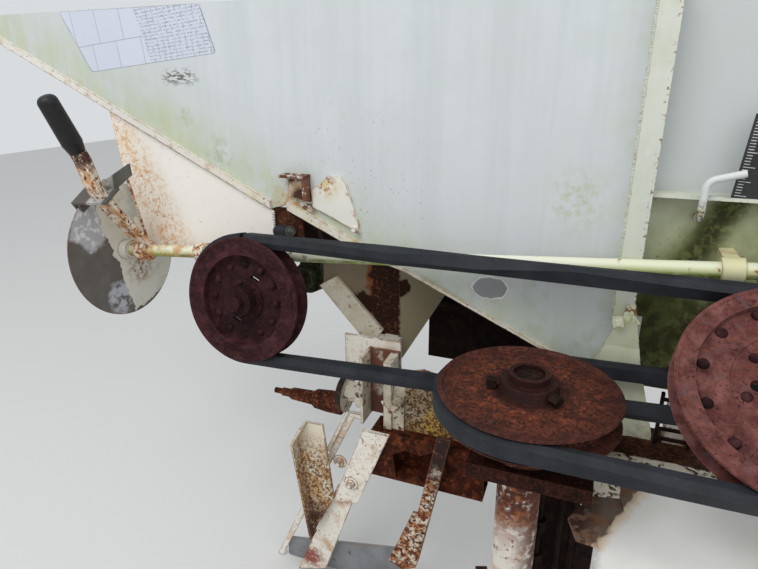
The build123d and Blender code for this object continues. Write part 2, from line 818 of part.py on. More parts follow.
trough += block(trough_right - sheet, trough_right, panel_back, trough_y, rear_beam_top, 60)
trough += block(-12, -9, 98, trough_y, -80, 60)
save(trough, "trough_sheet")
cross_end = window_left - 8
cross = block(-cross_end, cross_end, wall_back, 60, 60, 90)
cross -= block(-cross_end - 1, cross_end + 1, wall_back + 4, 61, 64, 86)
save(cross, "cross_member")

# hook and gusset tabs on the wall, and the plate in its notch
tab_front = wall_front - 5
hook = upright([(-231, 50), (-197, 43), (-198, 80), (-229, 80)], tab_front, wall_front)
hook += block(-237, -197, tab_front - 14, wall_front, 77, 81)
hook += block(-201, -197, tab_front - 14, tab_front, 48, 81)
gusset_outline = [
    (-194, 37), (-158, 22), (-124, 6), (-125, 16), (-134, 46), (-142, 71), (-150, 81), (-169, 81),
    (-173, 75), (-194, 61),
]
gusset = upright(gusset_outline, tab_front, wall_front)
save(hook + gusset, "wall_tabs")
save(block(notch_x, -215, wall_back, wall_back + 4, -28, 30), "notch_plate")

# stub shaft beside the post
stub_y = -26.0
stub_z = -238.0
stub_x = post_left - 5
facing_left = Rot(0, -90, 0)
stub = Pos(stub_x, stub_y, stub_z) * facing_left * Cylinder(22, 10)
stub += Pos(stub_x - 15, stub_y, stub_z) * facing_left * Cylinder(15, 20)
stub += Pos(stub_x - 30, stub_y, stub_z - 6) * facing_left * Cylinder(28, 10)
save(stub, "stub_bearing")
stub_end = stub_x - 35
stub_low = stub_z - 26
stub_points = [(0, 0), (17, 0), (17, 22), (15, 44), (11, 50), (9.5, 86), (6.5, 92)]
stub_points += [(6.5, 104), (4.5, 106), (4.5, 118), (0, 118)]
stub_face = make_face(Polyline(*stub_points, close=True))
stub_pin = Pos(stub_end, stub_y, stub_low) * facing_left * revolve(Plane.XZ * stub_face, Axis.Z)
save(stub_pin, "stub_pin")

# hangers below the beams
strap_front = beam_front - strap_sheet
straps = upright([(-102, -274), (-62, -274), (-114, -410), (-155, -416)], strap_front, beam_front - 0.3)
straps += upright(
    [(-150, -392), (-116, -390), (-178, -571), (-231, -591)],
    beam_front,
    beam_front + strap_sheet,
)
save(straps, "pivot_strap")
angle = upright(
    [(-195, -279), (-165, -277), (-152, -408), (-189, -484), (-212, -312)],
    strap_front - 4,
    strap_front,
)
angle_lip = [(-195, -279), (-191, -279), (-208, -312), (-185, -484), (-189, -486), (-212, -312)]
angle += upright(angle_lip, strap_front - 22, strap_front - 4)
save(angle, "hanger_angle")
bars = upright([(-132, beam_top + 10), (-122, beam_top + 10), (-271, -590), (-281, -590)], -44, -38)
bars += block(-130, post_left, -44, -38, beam_top + 2, beam_top + 10)
bars += upright([(-137, -262), (-131, -258), (-166, -340), (-174, -340)], -48, -44)
save(bars, "guard_bars")
diagonal = upright(
    [
        (12, beam_top + 26), (31, beam_top + 26), (-14, -486), (-34, -499), (-58, -488),
        (-20, beam_top - 110), (-13, beam_top - 110),
    ],
    strap_front - 14,
    strap_front - 10,
)
diagonal += upright(
    [(27, beam_top + 26), (31, beam_top + 26), (-14, -486), (-18, -486)],
    strap_front - 10,
    beam_front,
)
save(diagonal, "diagonal_bar")
# the deck's left edge is torn, and a flap of the sheet below it shows
deck_outline = [
    (212, -300), (213, deck_front), (deck_right, deck_front), (deck_right, rear_beam_front),
    (236, rear_beam_front), (240, -100), (238, -121), (243, -149), (231, -165), (228, -181),
    (231, -184), (216, -200), (219, -213), (213, -228), (215, -250), (209, -268),
]
flap_outline = [
    (186, -175), (207, -131), (245, -122), (250, -165), (236, -190), (224, -215), (213, -205),
    (196, -204),
]
deck = flat(deck_outline, deck_top - sheet, deck_top)
deck += flat(flap_outline, deck_top - 2 * sheet, deck_top - sheet)
save(deck, "deck_sheet")
ladder_y = -9.0
ladder = block(277, 281, ladder_y - 3, ladder_y + 3, rear_beam_top, -162)
ladder += block(315, 319, ladder_y - 3, ladder_y + 3, rear_beam_top, -162)
for i in range(5):
    ladder += Pos(298, ladder_y, rear_beam_top + 8 + 14 * i) * Rot(0, 90, 0) * Cylinder(2.5, 38)
save(ladder, "conveyor_ladder")

# rods and plates that hang behind the spindle
downwards = (Align.CENTER, Align.CENTER, Align.MAX)
rods_top = bracket_top - bracket_sheet
rods = Pos(155, -110, rods_top) * Cylinder(3, 240, align=downwards)
rods += Pos(155, -110, -318) * Cylinder(8, 14)
rods += Pos(155, -110, -372) * Cylinder(8, 14)
rods += Pos(179, -100, rods_top) * Cylinder(4, 300, align=downwards)
rods += block(193, 199, -96, -90, -470, rods_top)
dark_plate = [
    (146, rods_top), (200, rods_top), (200, -300), (222, -322), (222, -430), (176, -424), (146, -440),
]
rods += upright(dark_plate, -90, -86)
save(rods, "link_rods")
shelf = upright([(-262, -553), (-53, -504), (-53, -591), (-262, -591)], -38, -34)
save(shelf, "side_rail")
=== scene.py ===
import math

import bmesh
import bpy
from mathutils import Matrix, Vector


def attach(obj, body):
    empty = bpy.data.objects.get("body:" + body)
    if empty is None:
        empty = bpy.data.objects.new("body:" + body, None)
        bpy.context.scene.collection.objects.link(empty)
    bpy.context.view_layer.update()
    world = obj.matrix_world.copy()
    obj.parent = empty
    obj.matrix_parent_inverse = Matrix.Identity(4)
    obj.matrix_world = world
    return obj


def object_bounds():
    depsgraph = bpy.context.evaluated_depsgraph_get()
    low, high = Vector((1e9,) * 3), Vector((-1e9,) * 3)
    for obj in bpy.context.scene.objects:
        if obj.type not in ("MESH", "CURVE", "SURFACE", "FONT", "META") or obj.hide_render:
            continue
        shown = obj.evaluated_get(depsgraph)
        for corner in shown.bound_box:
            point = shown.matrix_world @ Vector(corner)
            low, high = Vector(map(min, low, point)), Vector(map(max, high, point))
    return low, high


mm = 0.001

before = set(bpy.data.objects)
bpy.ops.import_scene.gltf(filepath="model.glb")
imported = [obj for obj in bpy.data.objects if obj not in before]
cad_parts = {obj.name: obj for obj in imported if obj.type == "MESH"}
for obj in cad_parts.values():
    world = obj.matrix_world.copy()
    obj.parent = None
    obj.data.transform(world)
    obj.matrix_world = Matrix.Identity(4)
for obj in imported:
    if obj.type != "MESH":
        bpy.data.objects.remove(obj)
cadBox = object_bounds()
print("frame loaded")


# nodes and masks

def linear(hexColour):
    # an sRGB hex value as the linear colour that Blender's sockets take
    parts = [int(hexColour[i:i + 2], 16) / 255 for i in (1, 3, 5)]
    return tuple(p / 12.92 if p <= 0.04045 else ((p + 0.055) / 1.055) ** 2.4 for p in parts) + (1.0,)


def addNode(tree, kind, inputs, **settings):
    # adds a node with its settings; an input is a value or another node's socket
    made = tree.nodes.new(kind)
    for key, value in settings.items():
        setattr(made, key, value)
    for key, value in inputs.items():
        if isinstance(value, bpy.types.NodeSocket):
            tree.links.new(value, made.inputs[key])
        else:
            made.inputs[key].default_value = value
    return made


def reckoned(tree, operation, *values):
    # one step of arithmetic on numbers or masks
    step = addNode(tree, "ShaderNodeMath", dict(enumerate(values)), operation=operation)
    return step.outputs[0]


def spread(tree, value, low, high):
    # stretches a value so that low is 0 and high is 1
    ends = {"Value": value, "From Min": low, "From Max": high}
    return addNode(tree, "ShaderNodeMapRange", ends).outputs[0]


def blotches(tree, where, grain, low, high, detail=5.0, seed=0.0):
    # a mask of soft blotches about grain millimetres across
    sizes = {"Vector": where, "W": seed, "Scale": 1000 / grain, "Detail": detail, "Roughness": 0.6}
    noise = addNode(tree, "ShaderNodeTexNoise", sizes, noise_dimensions="4D")
    return spread(tree, noise.outputs["Fac"], low, high)


def moved(tree, first, second, operation="ADD"):
    # a place with a shift added, or joined to it in another way
    return addNode(tree, "ShaderNodeVectorMath", {0: first, 1: second}, operation=operation).outputs[0]


def shaken(tree, where, grain, amount):
    # a place moved about by noise, so that a mask's edge comes out ragged
    noise = addNode(tree, "ShaderNodeTexNoise", {"Vector": where, "Scale": 1000 / grain, "Detail": 4.0})
    shift = moved(tree, noise.outputs["Color"], (0.5, 0.5, 0.5), "SUBTRACT")
    shift = addNode(tree, "ShaderNodeVectorMath", {0: shift, "Scale": amount}, operation="SCALE").outputs[0]
    return moved(tree, where, shift)


def reachAlong(tree, where, direction):
    # how far a place lies in a direction
    reach = addNode(tree, "ShaderNodeVectorMath", {0: where, 1: direction}, operation="DOT_PRODUCT")
    return reach.outputs["Value"]


def toward(tree, where, direction, start, end):
    # a mask that grows from 0 to 1 between two distances in a direction
    return spread(tree, reachAlong(tree, where, direction), start, end)


def near(tree, where, centre, inner, outer):
    # a mask of 1 within inner of a point, that fades to 0 at outer
    gap = addNode(tree, "ShaderNodeVectorMath", {0: where, 1: centre}, operation="DISTANCE")
    return spread(tree, gap.outputs["Value"], outer, inner)


def beside(tree, where, start, end, width):
    # a mask along the line through two points of an upright face, given in X and Z; it is full within a
    # quarter of its width
    way = Vector((end[0] - start[0], 0, end[1] - start[1])).normalized()
    across = Vector((-way.z, 0, way.x))
    offset = across.x * start[0] + across.z * start[1]
    side = reckoned(tree, "SUBTRACT", reachAlong(tree, where, across), offset)
    side = reckoned(tree, "ABSOLUTE", side)
    return spread(tree, side, width, width * 0.25)


def edges(tree, reach):
    # a mask of the sharp edges, as wide as reach in metres, by how far the rounded normal leans there
    flat, sharp = 0.99, 0.85
    soft = addNode(tree, "ShaderNodeBevel", {"Radius": reach}, samples=6).outputs[0]
    true = addNode(tree, "ShaderNodeNewGeometry", {}).outputs["Normal"]
    return spread(tree, reachAlong(tree, soft, true), flat, sharp)


def both(tree, first, second):
    # a mask of what two masks share
    shared = addNode(tree, "ShaderNodeMath", {0: first, 1: second}, operation="MULTIPLY", use_clamp=True)
    return shared.outputs[0]


def tinted(tree, under, mask, colour):
    # a colour laid over another where the mask is 1
    sides = {"Factor": mask, 6: under, 7: linear(colour)}
    return addNode(tree, "ShaderNodeMix", sides, data_type="RGBA").outputs[2]


def patch(colour, grain=60, low=0.1, high=0.2, **more):
    # one coat of a finish: its blotches are about grain millimetres across, and its noise is bare below low
    # and covered above high; without them it covers all that toward, near, beside and edges leave it
    return {"colour": colour, "grain": grain, "low": low, "high": high, **more}


def coat(tree, under, mask, look):
    # lays a coat over the others where the mask is 1, with its colour, roughness and height
    rough = addNode(tree, "ShaderNodeMix", {"Factor": mask, 2: under["rough"], 3: look.get("rough", 0.6)})
    high = addNode(tree, "ShaderNodeMix", {"Factor": mask, 2: under["height"], 3: look.get("height", 1.0)})
    return {"colour": tinted(tree, under["colour"], mask, look["colour"]), "rough": rough.outputs[0],
            "height": high.outputs[0]}


def layered(name, look):
    # a finish from its base and its coats; each coat's mask is the product of what its look names
    material = bpy.data.materials.new(name)
    material.use_nodes = True
    tree = material.node_tree
    place = addNode(tree, "ShaderNodeTexCoord", {}).outputs["Object"]
    finish = {"colour": linear(look["base"]), "rough": look["rough"], "height": look.get("height", 1.0)}
    for count, layer in enumerate(look["coats"]):
        where = place
        if "stretch" in layer:
            drawn = addNode(tree, "ShaderNodeMapping", {"Vector": place, "Scale": layer["stretch"]})
            where = drawn.outputs[0]
        noise = (layer["grain"], layer["low"], layer["high"], layer.get("detail", 6.0), count + 1.0)
        mask = blotches(tree, where, *noise)
        spot = shaken(tree, place, *layer["ragged"]) if "ragged" in layer else place
        for key, area in (("toward", toward), ("near", near), ("beside", beside)):
            if key in layer:
                mask = both(tree, mask, area(tree, spot, *layer[key]))
        if "edges" in layer:
            mask = both(tree, mask, edges(tree, layer["edges"]))
        if "share" in layer:
            mask = both(tree, mask, layer["share"])
        finish = coat(tree, finish, mask, layer)
    shader = tree.nodes["Principled BSDF"]
    shader.inputs["Metallic"].default_value = look.get("metallic", 0.0)
    shader.inputs["Specular IOR Level"].default_value = look.get("shine", 0.5)
    tree.links.new(finish["colour"], shader.inputs["Base Color"])
    tree.links.new(finish["rough"], shader.inputs["Roughness"])
    relief = {"Strength": 1.0, "Distance": look["depth"], "Height": finish["height"]}
    tree.links.new(addNode(tree, "ShaderNodeBump", relief).outputs["Normal"], shader.inputs["Normal"])
    return material


# finishes

# stoving enamel sprayed on sheet steel: smooth and semi-gloss, with rain streaks, dust and green algae
rainStreaks = patch("#BEC5C6", 26, 0.42, 0.62, rough=0.5, stretch=(1, 1, 0.06), share=0.5)
dustDrift = patch("#B9B6A8", 240, 0.35, 0.7, detail=2.0, share=0.2)
algaeBloom = patch("#A9B48F", 35, 0.45, 0.75, share=0.1)
# rust that breaks through the enamel: an orange stain, then dark pitted scale
rustStain = patch("#A9764A", 40, 0.6, 0.8, rough=0.75, height=0.95)
rustScale = patch("#5A3826", 9, 0.6, 0.66, rough=0.9, height=0.3, detail=8.0)
rustedEdge = patch("#8A5A3C", 12, 0.45, 0.55, rough=0.85, height=0.5, edges=0.0022)

endWallSlope = (0.4353, 0.0, 0.9003)
endWallLook = {
    "base": "#CCD1D5", "rough": 0.42, "depth": 0.0006,
    "coats": [
        rainStreaks, dustDrift, algaeBloom,
        patch("#AEB98F", 45, 0.3, 0.7, toward=(endWallSlope, 0.030, -0.10), share=0.75),
        patch("#B4BE9A", 30, 0.42, 0.7, toward=((1, 0, 0), 0.10, 0.23), share=0.45),
        patch("#A6AE8E", 14, 0.5, 0.66, toward=((0, 0, 1), 0.02, -0.12), share=0.5),
        patch("#B7BC82", 18, 0.42, 0.66, stretch=(1, 1, 0.45), toward=(endWallSlope, -0.010, -0.085),
              share=0.65),
        patch("#B08A62", 22, 0.5, 0.68, toward=(endWallSlope, -0.070, -0.104), share=0.8),
        patch("#6B4630", 7, 0.55, 0.62, rough=0.9, height=0.4, toward=(endWallSlope, -0.086, -0.104)),
        patch("#98A67A", 9, 0.46, 0.60, near=((-0.397, -0.009, 0.153), 0.004, 0.017), share=0.7),
        patch("#98A67A", 9, 0.46, 0.60, near=((-0.345, -0.009, 0.102), 0.010, 0.032), share=0.6),
        patch("#A9B48C", 9, 0.46, 0.60, near=((0.150, -0.009, 0.069), 0.010, 0.045), share=0.6),
        patch("#74706C", 5, 0.50, 0.53, height=0.2, stretch=(0.6, 1, 1.5), ragged=(9, 0.010),
              near=((-0.398, -0.009, 0.207), 0.018, 0.036),
              beside=((-0.440, 0.207), (-0.360, 0.207), 0.014)),
        patch("#9A8F80", 5, 0.62, 0.68, rough=0.8, near=((-0.15, -0.009, 0.02), 0.05, 0.2)),
        patch("#B98C5C", 8, 0.42, 0.58, rough=0.8, near=((-0.225, -0.009, 0.036), 0.012, 0.042)),
        patch("#5A3626", 6, 0.44, 0.52, rough=0.9, near=((-0.205, -0.009, 0.034), 0.006, 0.020)),
        patch("#B7BBBA", rough=0.5, toward=((0, 1, 0), -0.0080, -0.0072)),
    ],
}


def chippedWall():
    # the end wall's enamel, with a flat dent where the paint has come off down to grey steel
    material = layered("weatheredWhiteEnamel", endWallLook)
    tree = material.node_tree
    chip = {"centre": (0.058, -0.009, -0.0525), "halfWidth": 0.0235, "halfHeight": 0.0150, "wobble": 0.010,
            "wobbleGrain": 11.0, "skin": (0.0072, 0.0080), "lip": "#E4E6E6", "bare": "#8E8F91"}
    place = addNode(tree, "ShaderNodeTexCoord", {}).outputs["Object"]
    ragged = shaken(tree, place, chip["wobbleGrain"], chip["wobble"])
    offset = moved(tree, ragged, chip["centre"], "SUBTRACT")
    scaled = moved(tree, offset, (1 / chip["halfWidth"], 0.0, 1 / chip["halfHeight"]), "MULTIPLY")
    reach = addNode(tree, "ShaderNodeVectorMath", {0: scaled}, operation="LENGTH").outputs["Value"]
    onFront = toward(tree, place, (0, -1, 0), *chip["skin"])
    shader = tree.nodes["Principled BSDF"]
    colour = shader.inputs["Base Color"].links[0].from_socket
    for tint, low, high in ((chip["lip"], 1.08, 1.04), (chip["bare"], 1.02, 0.94)):
        mask = both(tree, spread(tree, reach, low, high), onFront)
        colour = tinted(tree, colour, mask, tint)
    tree.links.new(colour, shader.inputs["Base Color"])
    return material


barAcross = (-0.07498, 0.0, 0.99719)
deckTear = (-0.91, 0.415, 0)
dialAcross = (0.0, 0.98, 0.18)
chippedEdge = patch("#6E452E", 14, 0.40, 0.52, rough=0.85, height=0.5, edges=0.003)
wornEdge = {**rustedEdge, "low": 0.42}
enamelLooks = {
    "white": {"base": "#CBCDCB", "rough": 0.45, "depth": 0.0006, "coats": [
        rainStreaks, dustDrift, algaeBloom,
        {**rustStain, "low": 0.66},
        {**rustScale, "low": 0.68, "high": 0.72},
        rustedEdge]},
    "flange": {"base": "#E0DCD3", "rough": 0.5, "depth": 0.0006, "coats": [
        dustDrift,
        patch("#D8CB9B", 22, 0.42, 0.66, toward=((1, 0, 0), -0.46, -0.28), share=0.6),
        {**rustStain, "grain": 16, "low": 0.52, "high": 0.74, "share": 0.7},
        {**rustScale, "grain": 5, "low": 0.61, "high": 0.67},
        wornEdge]},
    # the hook and the gusset: orange stain at the gusset's top, dark scale round the hook's foot and cap
    "tab": {"base": "#E2E0D8", "rough": 0.5, "depth": 0.0007, "coats": [
        dustDrift,
        patch("#D3C08F", 12, 0.40, 0.6, near=((-0.170, -0.014, 0.072), 0.008, 0.032)),
        patch("#8A4C28", 5, 0.50, 0.57, near=((-0.172, -0.014, 0.070), 0.004, 0.020)),
        patch("#B98A5E", 8, 0.52, 0.62, beside=((-0.140, 0.066), (-0.125, 0.010), 0.006)),
        patch("#C2A079", 9, 0.35, 0.55, near=((-0.214, -0.014, 0.062), 0.016, 0.026)),
        patch("#4A2C22", 7, 0.28, 0.36, rough=0.9, height=0.3,
              near=((-0.210, -0.014, 0.047), 0.012, 0.019)),
        patch("#6E432C", 7, 0.34, 0.44, rough=0.9, height=0.3,
              beside=((-0.199, 0.08), (-0.199, 0.04), 0.007)),
        patch("#5A3626", 8, 0.40, 0.50, rough=0.9, height=0.4, toward=((-0.25, -0.1, 0.97), 0.122, 0.127)),
        wornEdge]},
    "smooth": {"base": "#C0C4C2", "rough": 0.4, "depth": 0.0003,
               "coats": [rainStreaks, {**algaeBloom, "share": 0.08}]},
    # orange specks in a band down from the leg's top corner, and a rusty seam by its left edge
    "leg": {"base": "#F0ECE5", "rough": 0.45, "depth": 0.0006, "coats": [
        dustDrift,
        patch("#E4CBA6", 26, 0.34, 0.66, beside=((-0.536, 0.150), (-0.474, 0.010), 0.056), share=0.6),
        patch("#D9A871", 7, 0.49, 0.62, beside=((-0.536, 0.150), (-0.474, 0.010), 0.052), share=0.8),
        patch("#C08A52", 3.5, 0.54, 0.63, beside=((-0.536, 0.150), (-0.474, 0.010), 0.046), share=0.8),
        patch("#99683F", 2.4, 0.60, 0.66, beside=((-0.534, 0.145), (-0.490, 0.050), 0.030)),
        patch("#C59C73", 6, 0.62, 0.70, share=0.6),
        wornEdge,
        patch("#A87B55", 18, 0.45, 0.65, toward=((0, 0, 1), -0.030, -0.058), share=0.5)]},
    "cream": {"base": "#D2D3C5", "rough": 0.45, "depth": 0.0006, "coats": [
        rainStreaks,
        {**algaeBloom, "share": 0.45},
        patch("#B6BE8F", 40, 0.35, 0.65, toward=((-0.6, 0, -0.8), -0.30, 0.0), share=0.6),
        patch("#8A6448", 4, 0.54, 0.60, beside=((0.2285, 0.3), (0.2285, 0.10), 0.0035)),
        {**rustStain, "low": 0.68},
        {**rustedEdge, "low": 0.54, "high": 0.62, "grain": 5}]},
    "foot": {"base": "#E1E3CB", "rough": 0.45, "depth": 0.0006, "coats": [
        patch("#C9D196", 24, 0.42, 0.68, share=0.6),
        patch("#B9B29A", 20, 0.45, 0.65, toward=((0, 0, -1), 0.15, 0.21)),
        patch("#8E5C3C", 8, 0.50, 0.58, near=((0.226, -0.029, -0.050), 0.006, 0.020)),
        {**rustedEdge, "low": 0.46}]},
    "bar": {"base": "#C6CB97", "rough": 0.5, "depth": 0.0005, "coats": [
        # painted highlight: the bar's upper side painted whiter, where light falls on it
        patch("#E6E6DB", 30, toward=(barAcross, -0.0120, -0.0080), share=0.5),
        patch("#E6E6DB", 60, 0.2, 0.4, near=((-0.12, -0.035, -0.010), 0.20, 0.34), share=0.6),
        patch("#7F8E35", 22, 0.26, 0.50, toward=(barAcross, -0.0128, -0.0170), share=0.9),
        patch("#59622A", 9, 0.48, 0.60, toward=(barAcross, -0.0140, -0.0180), share=0.8),
        patch("#9A6A44", 9, 0.60, 0.66, rough=0.8, height=0.5),
        patch("#B98550", 16, 0.42, 0.6, rough=0.8, height=0.5, toward=((1, 0, 0), -0.30, -0.44))]},
    "sleeve": {"base": "#CEC99F", "rough": 0.5, "depth": 0.0006, "coats": [
        {**algaeBloom, "share": 0.7},
        {**rustStain, "low": 0.5, "high": 0.7},
        wornEdge]},
    "algaeAndShade": {"base": "#A3A888", "rough": 0.6, "depth": 0.0008, "coats": [
        patch("#C6C9B4", 40, 0.35, 0.65, toward=((-0.5, 0, 0.86), -0.13, -0.06)),
        patch("#7C8250", 30, 0.3, 0.62, toward=((0.5, 0, -0.86), 0.09, 0.16)),
        # painted shade: a ragged dark moss-green strip along a diagonal, for a gap lying in shadow
        patch("#5C6232", 20, 0.20, 0.40, rough=0.9, ragged=(14, 0.014),
              beside=((0.320, 0.090), (0.282, 0.010), 0.030)),
        patch("#34351A", 9, 0.40, 0.52, rough=0.95, height=1.2, ragged=(10, 0.010),
              beside=((0.322, 0.090), (0.286, 0.010), 0.020)),
        patch("#50552A", 34, 0.25, 0.5, rough=0.95, ragged=(30, 0.03), toward=((0, 0, -1), 0.0, 0.05)),
        patch("#353616", 16, 0.42, 0.56, rough=0.95, toward=((0, 0, -1), 0.01, 0.06)),
        patch("#6B5532", 6, 0.62, 0.68, rough=0.9)]},
    "rod": {"base": "#CDD1CF", "rough": 0.45, "depth": 0.0004, "coats": [
        patch("#8E9258", 8, 0.40, 0.60, toward=((0, 0, -1), -0.082, -0.070)),
        patch("#5E3E22", 4, 0.48, 0.56, toward=((0, 0, -1), -0.080, -0.066))]},
    # the chute: tan on the left, greyer past its fold, scaled black-brown along the fold, painted shade at
    # its top
    "chute": {"base": "#7C6F5B", "rough": 0.65, "shine": 0.25, "depth": 0.0009, "coats": [
        patch("#5F5443", 40, 0.35, 0.65, share=0.6),
        patch("#7A4528", rough=0.9, ragged=(16, 0.036), toward=((1, 0, 0), -0.136, -0.132)),
        patch("#2E1810", 10, 0.34, 0.42, rough=0.95, height=0.2, ragged=(16, 0.036),
              toward=((1, 0, 0), -0.128, -0.126)),
        patch("#2E1810", rough=0.95, height=0.2, ragged=(10, 0.020),
              near=((-0.140, 0.035, -0.118), 0.018, 0.021)),
        patch("#5E3A22", 4, 0.56, 0.62, rough=0.95, height=0.4, toward=((1, 0, 0), -0.130, -0.128)),
        patch("#9C9075", ragged=(6, 0.008), toward=((1, 0, 0), -0.083, -0.080)),
        patch("#341C12", rough=0.95, height=0.2, ragged=(10, 0.020),
              near=((-0.079, 0.039, -0.086), 0.012, 0.015)),
        # painted shade: the chute's top painted near black, for the shadowed inside under the wall
        patch("#120D0A", 40, toward=((0, 0, 1), -0.058, -0.048)),
        {**rustedEdge, "low": 0.46}]},
    "strip": {"base": "#D6CFBC", "rough": 0.6, "depth": 0.0007, "coats": [
        patch("#B39A76", 22, 0.45, 0.68, share=0.6),
        patch("#6E452E", 6, 0.60, 0.66, rough=0.9),
        {**rustedEdge, "low": 0.44}]},
    # the channel post: rust down its recess, and the sheet beside it speckled black over yellow
    "post": {"base": "#CFC8B6", "rough": 0.6, "depth": 0.0008, "coats": [
        patch("#A39377", 24, 0.42, 0.66, share=0.7),
        patch("#6A4233", 20, 0.30, 0.44, rough=0.9, toward=((0, 1, 0), -0.022, -0.016)),
        patch("#95805C", 30, 0.2, 0.5, toward=((1, 0, 0), -0.048, -0.044)),
        patch("#B8913F", 18, 0.30, 0.5, ragged=(16, 0.02), toward=((0.8, 0, -0.6), 0.126, 0.140)),
        patch("#4A2E1C", 3.2, 0.50, 0.55, rough=0.9, height=0.3, toward=((1, 0, 0), -0.048, -0.044)),
        patch("#6E452E", 8, 0.56, 0.62, rough=0.9, height=0.4),
        wornEdge]},
    "strap": {"base": "#E8E2D6", "rough": 0.55, "depth": 0.0008, "coats": [
        dustDrift,
        patch("#BE9468", 26, 0.48, 0.66, share=0.8),
        patch("#8A6040", 5, 0.58, 0.64, rough=0.85, height=0.6, detail=8.0, share=0.9),
        patch("#3E2419", 3.5, 0.64, 0.69, rough=0.9, height=0.2, detail=8.0),
        patch("#8A4C40", 12, 0.44, 0.52, rough=0.85, height=0.4,
              near=((-0.206, -0.060, -0.552), 0.012, 0.034)),
        chippedEdge]},
    # blasted by fertilizer dust: pits all over the middle, orange at the foot
    "angle": {"base": "#D6CDB8", "rough": 0.65, "depth": 0.0010, "coats": [
        patch("#B88B50", 20, 0.34, 0.56, toward=((0, 0, -1), 0.29, 0.35), share=0.85),
        patch("#7A5029", 4, 0.50, 0.56, rough=0.9, height=0.3, toward=((0, 0, -1), 0.29, 0.35)),
        patch("#3A2114", 2.6, 0.56, 0.61, rough=0.95, height=0.0, toward=((0, 0, -1), 0.29, 0.36)),
        patch("#4A2A1A", 12, 0.38, 0.50, rough=0.9, height=0.2, toward=((0, 0, -1), 0.41, 0.45)),
        {**chippedEdge, "low": 0.36}]},
    "diagonal": {"base": "#D2C4AE", "rough": 0.7, "depth": 0.0012, "coats": [
        patch("#A8693C", 13, 0.47, 0.54, detail=8.0),
        patch("#6A3219", 8, 0.51, 0.55, rough=0.9, height=0.4, detail=8.0),
        patch("#28130D", 5, 0.55, 0.59, rough=0.95, height=0.0, detail=8.0),
        patch("#2A1510", 12, 0.34, 0.46, rough=0.95, height=0.2, toward=((0, 0, 1), -0.350, -0.290)),
        {**chippedEdge, "low": 0.32}]},
    "spindle": {"base": "#D9D2C8", "rough": 0.6, "depth": 0.0010, "coats": [
        patch("#B98F6C", 24, 0.50, 0.68, share=0.8),
        patch("#8C5230", 11, 0.42, 0.50, rough=0.9, height=0.4, toward=((0, 0, 1), -0.330, -0.262)),
        patch("#4A2618", 8, 0.44, 0.50, rough=0.9, height=0.2, toward=((0, 0, 1), -0.300, -0.250)),
        patch("#5A3020", 10, 0.40, 0.48, rough=0.9, height=0.2, toward=((1, -0.3, 0), 0.184, 0.200)),
        patch("#7A4A30", 6, 0.60, 0.65, rough=0.9, height=0.3)]},
    "lever": {"base": "#DDD0BC", "rough": 0.6, "depth": 0.0010, "coats": [
        patch("#C8905C", 14, 0.45, 0.58, share=0.95),
        patch("#96582F", 8, 0.53, 0.59, rough=0.85, height=0.5),
        patch("#4A261B", 6, 0.58, 0.62, rough=0.9, height=0.2),
        patch("#432419", 9, 0.44, 0.50, rough=0.9, height=0.2, toward=((0, 0, 1), 0.072, 0.100)),
        {**chippedEdge, "low": 0.42}]},
    "deck": {"base": "#F1F1EE", "rough": 0.5, "depth": 0.0010, "coats": [
        patch("#DCD6C9", 60, 0.42, 0.68, share=0.5),
        patch("#D6B98E", 60, 0.1, 0.3, rough=0.8, ragged=(12, 0.016),
              toward=(deckTear, -0.292, -0.283), share=0.7),
        patch("#70645C", rough=0.7, height=0.4, ragged=(12, 0.016), toward=(deckTear, -0.280, -0.278)),
        patch("#7A5236", 14, 0.44, 0.54, rough=0.9, height=0.4,
              toward=(deckTear, -0.284, -0.270), share=0.8),
        patch("#3E2418", 10, 0.44, 0.50, rough=0.9, height=0.2, toward=((-1, 0, 0), -0.222, -0.200)),
        patch("#8A6248", 5, 0.68, 0.72, rough=0.9, height=0.5)]},
}

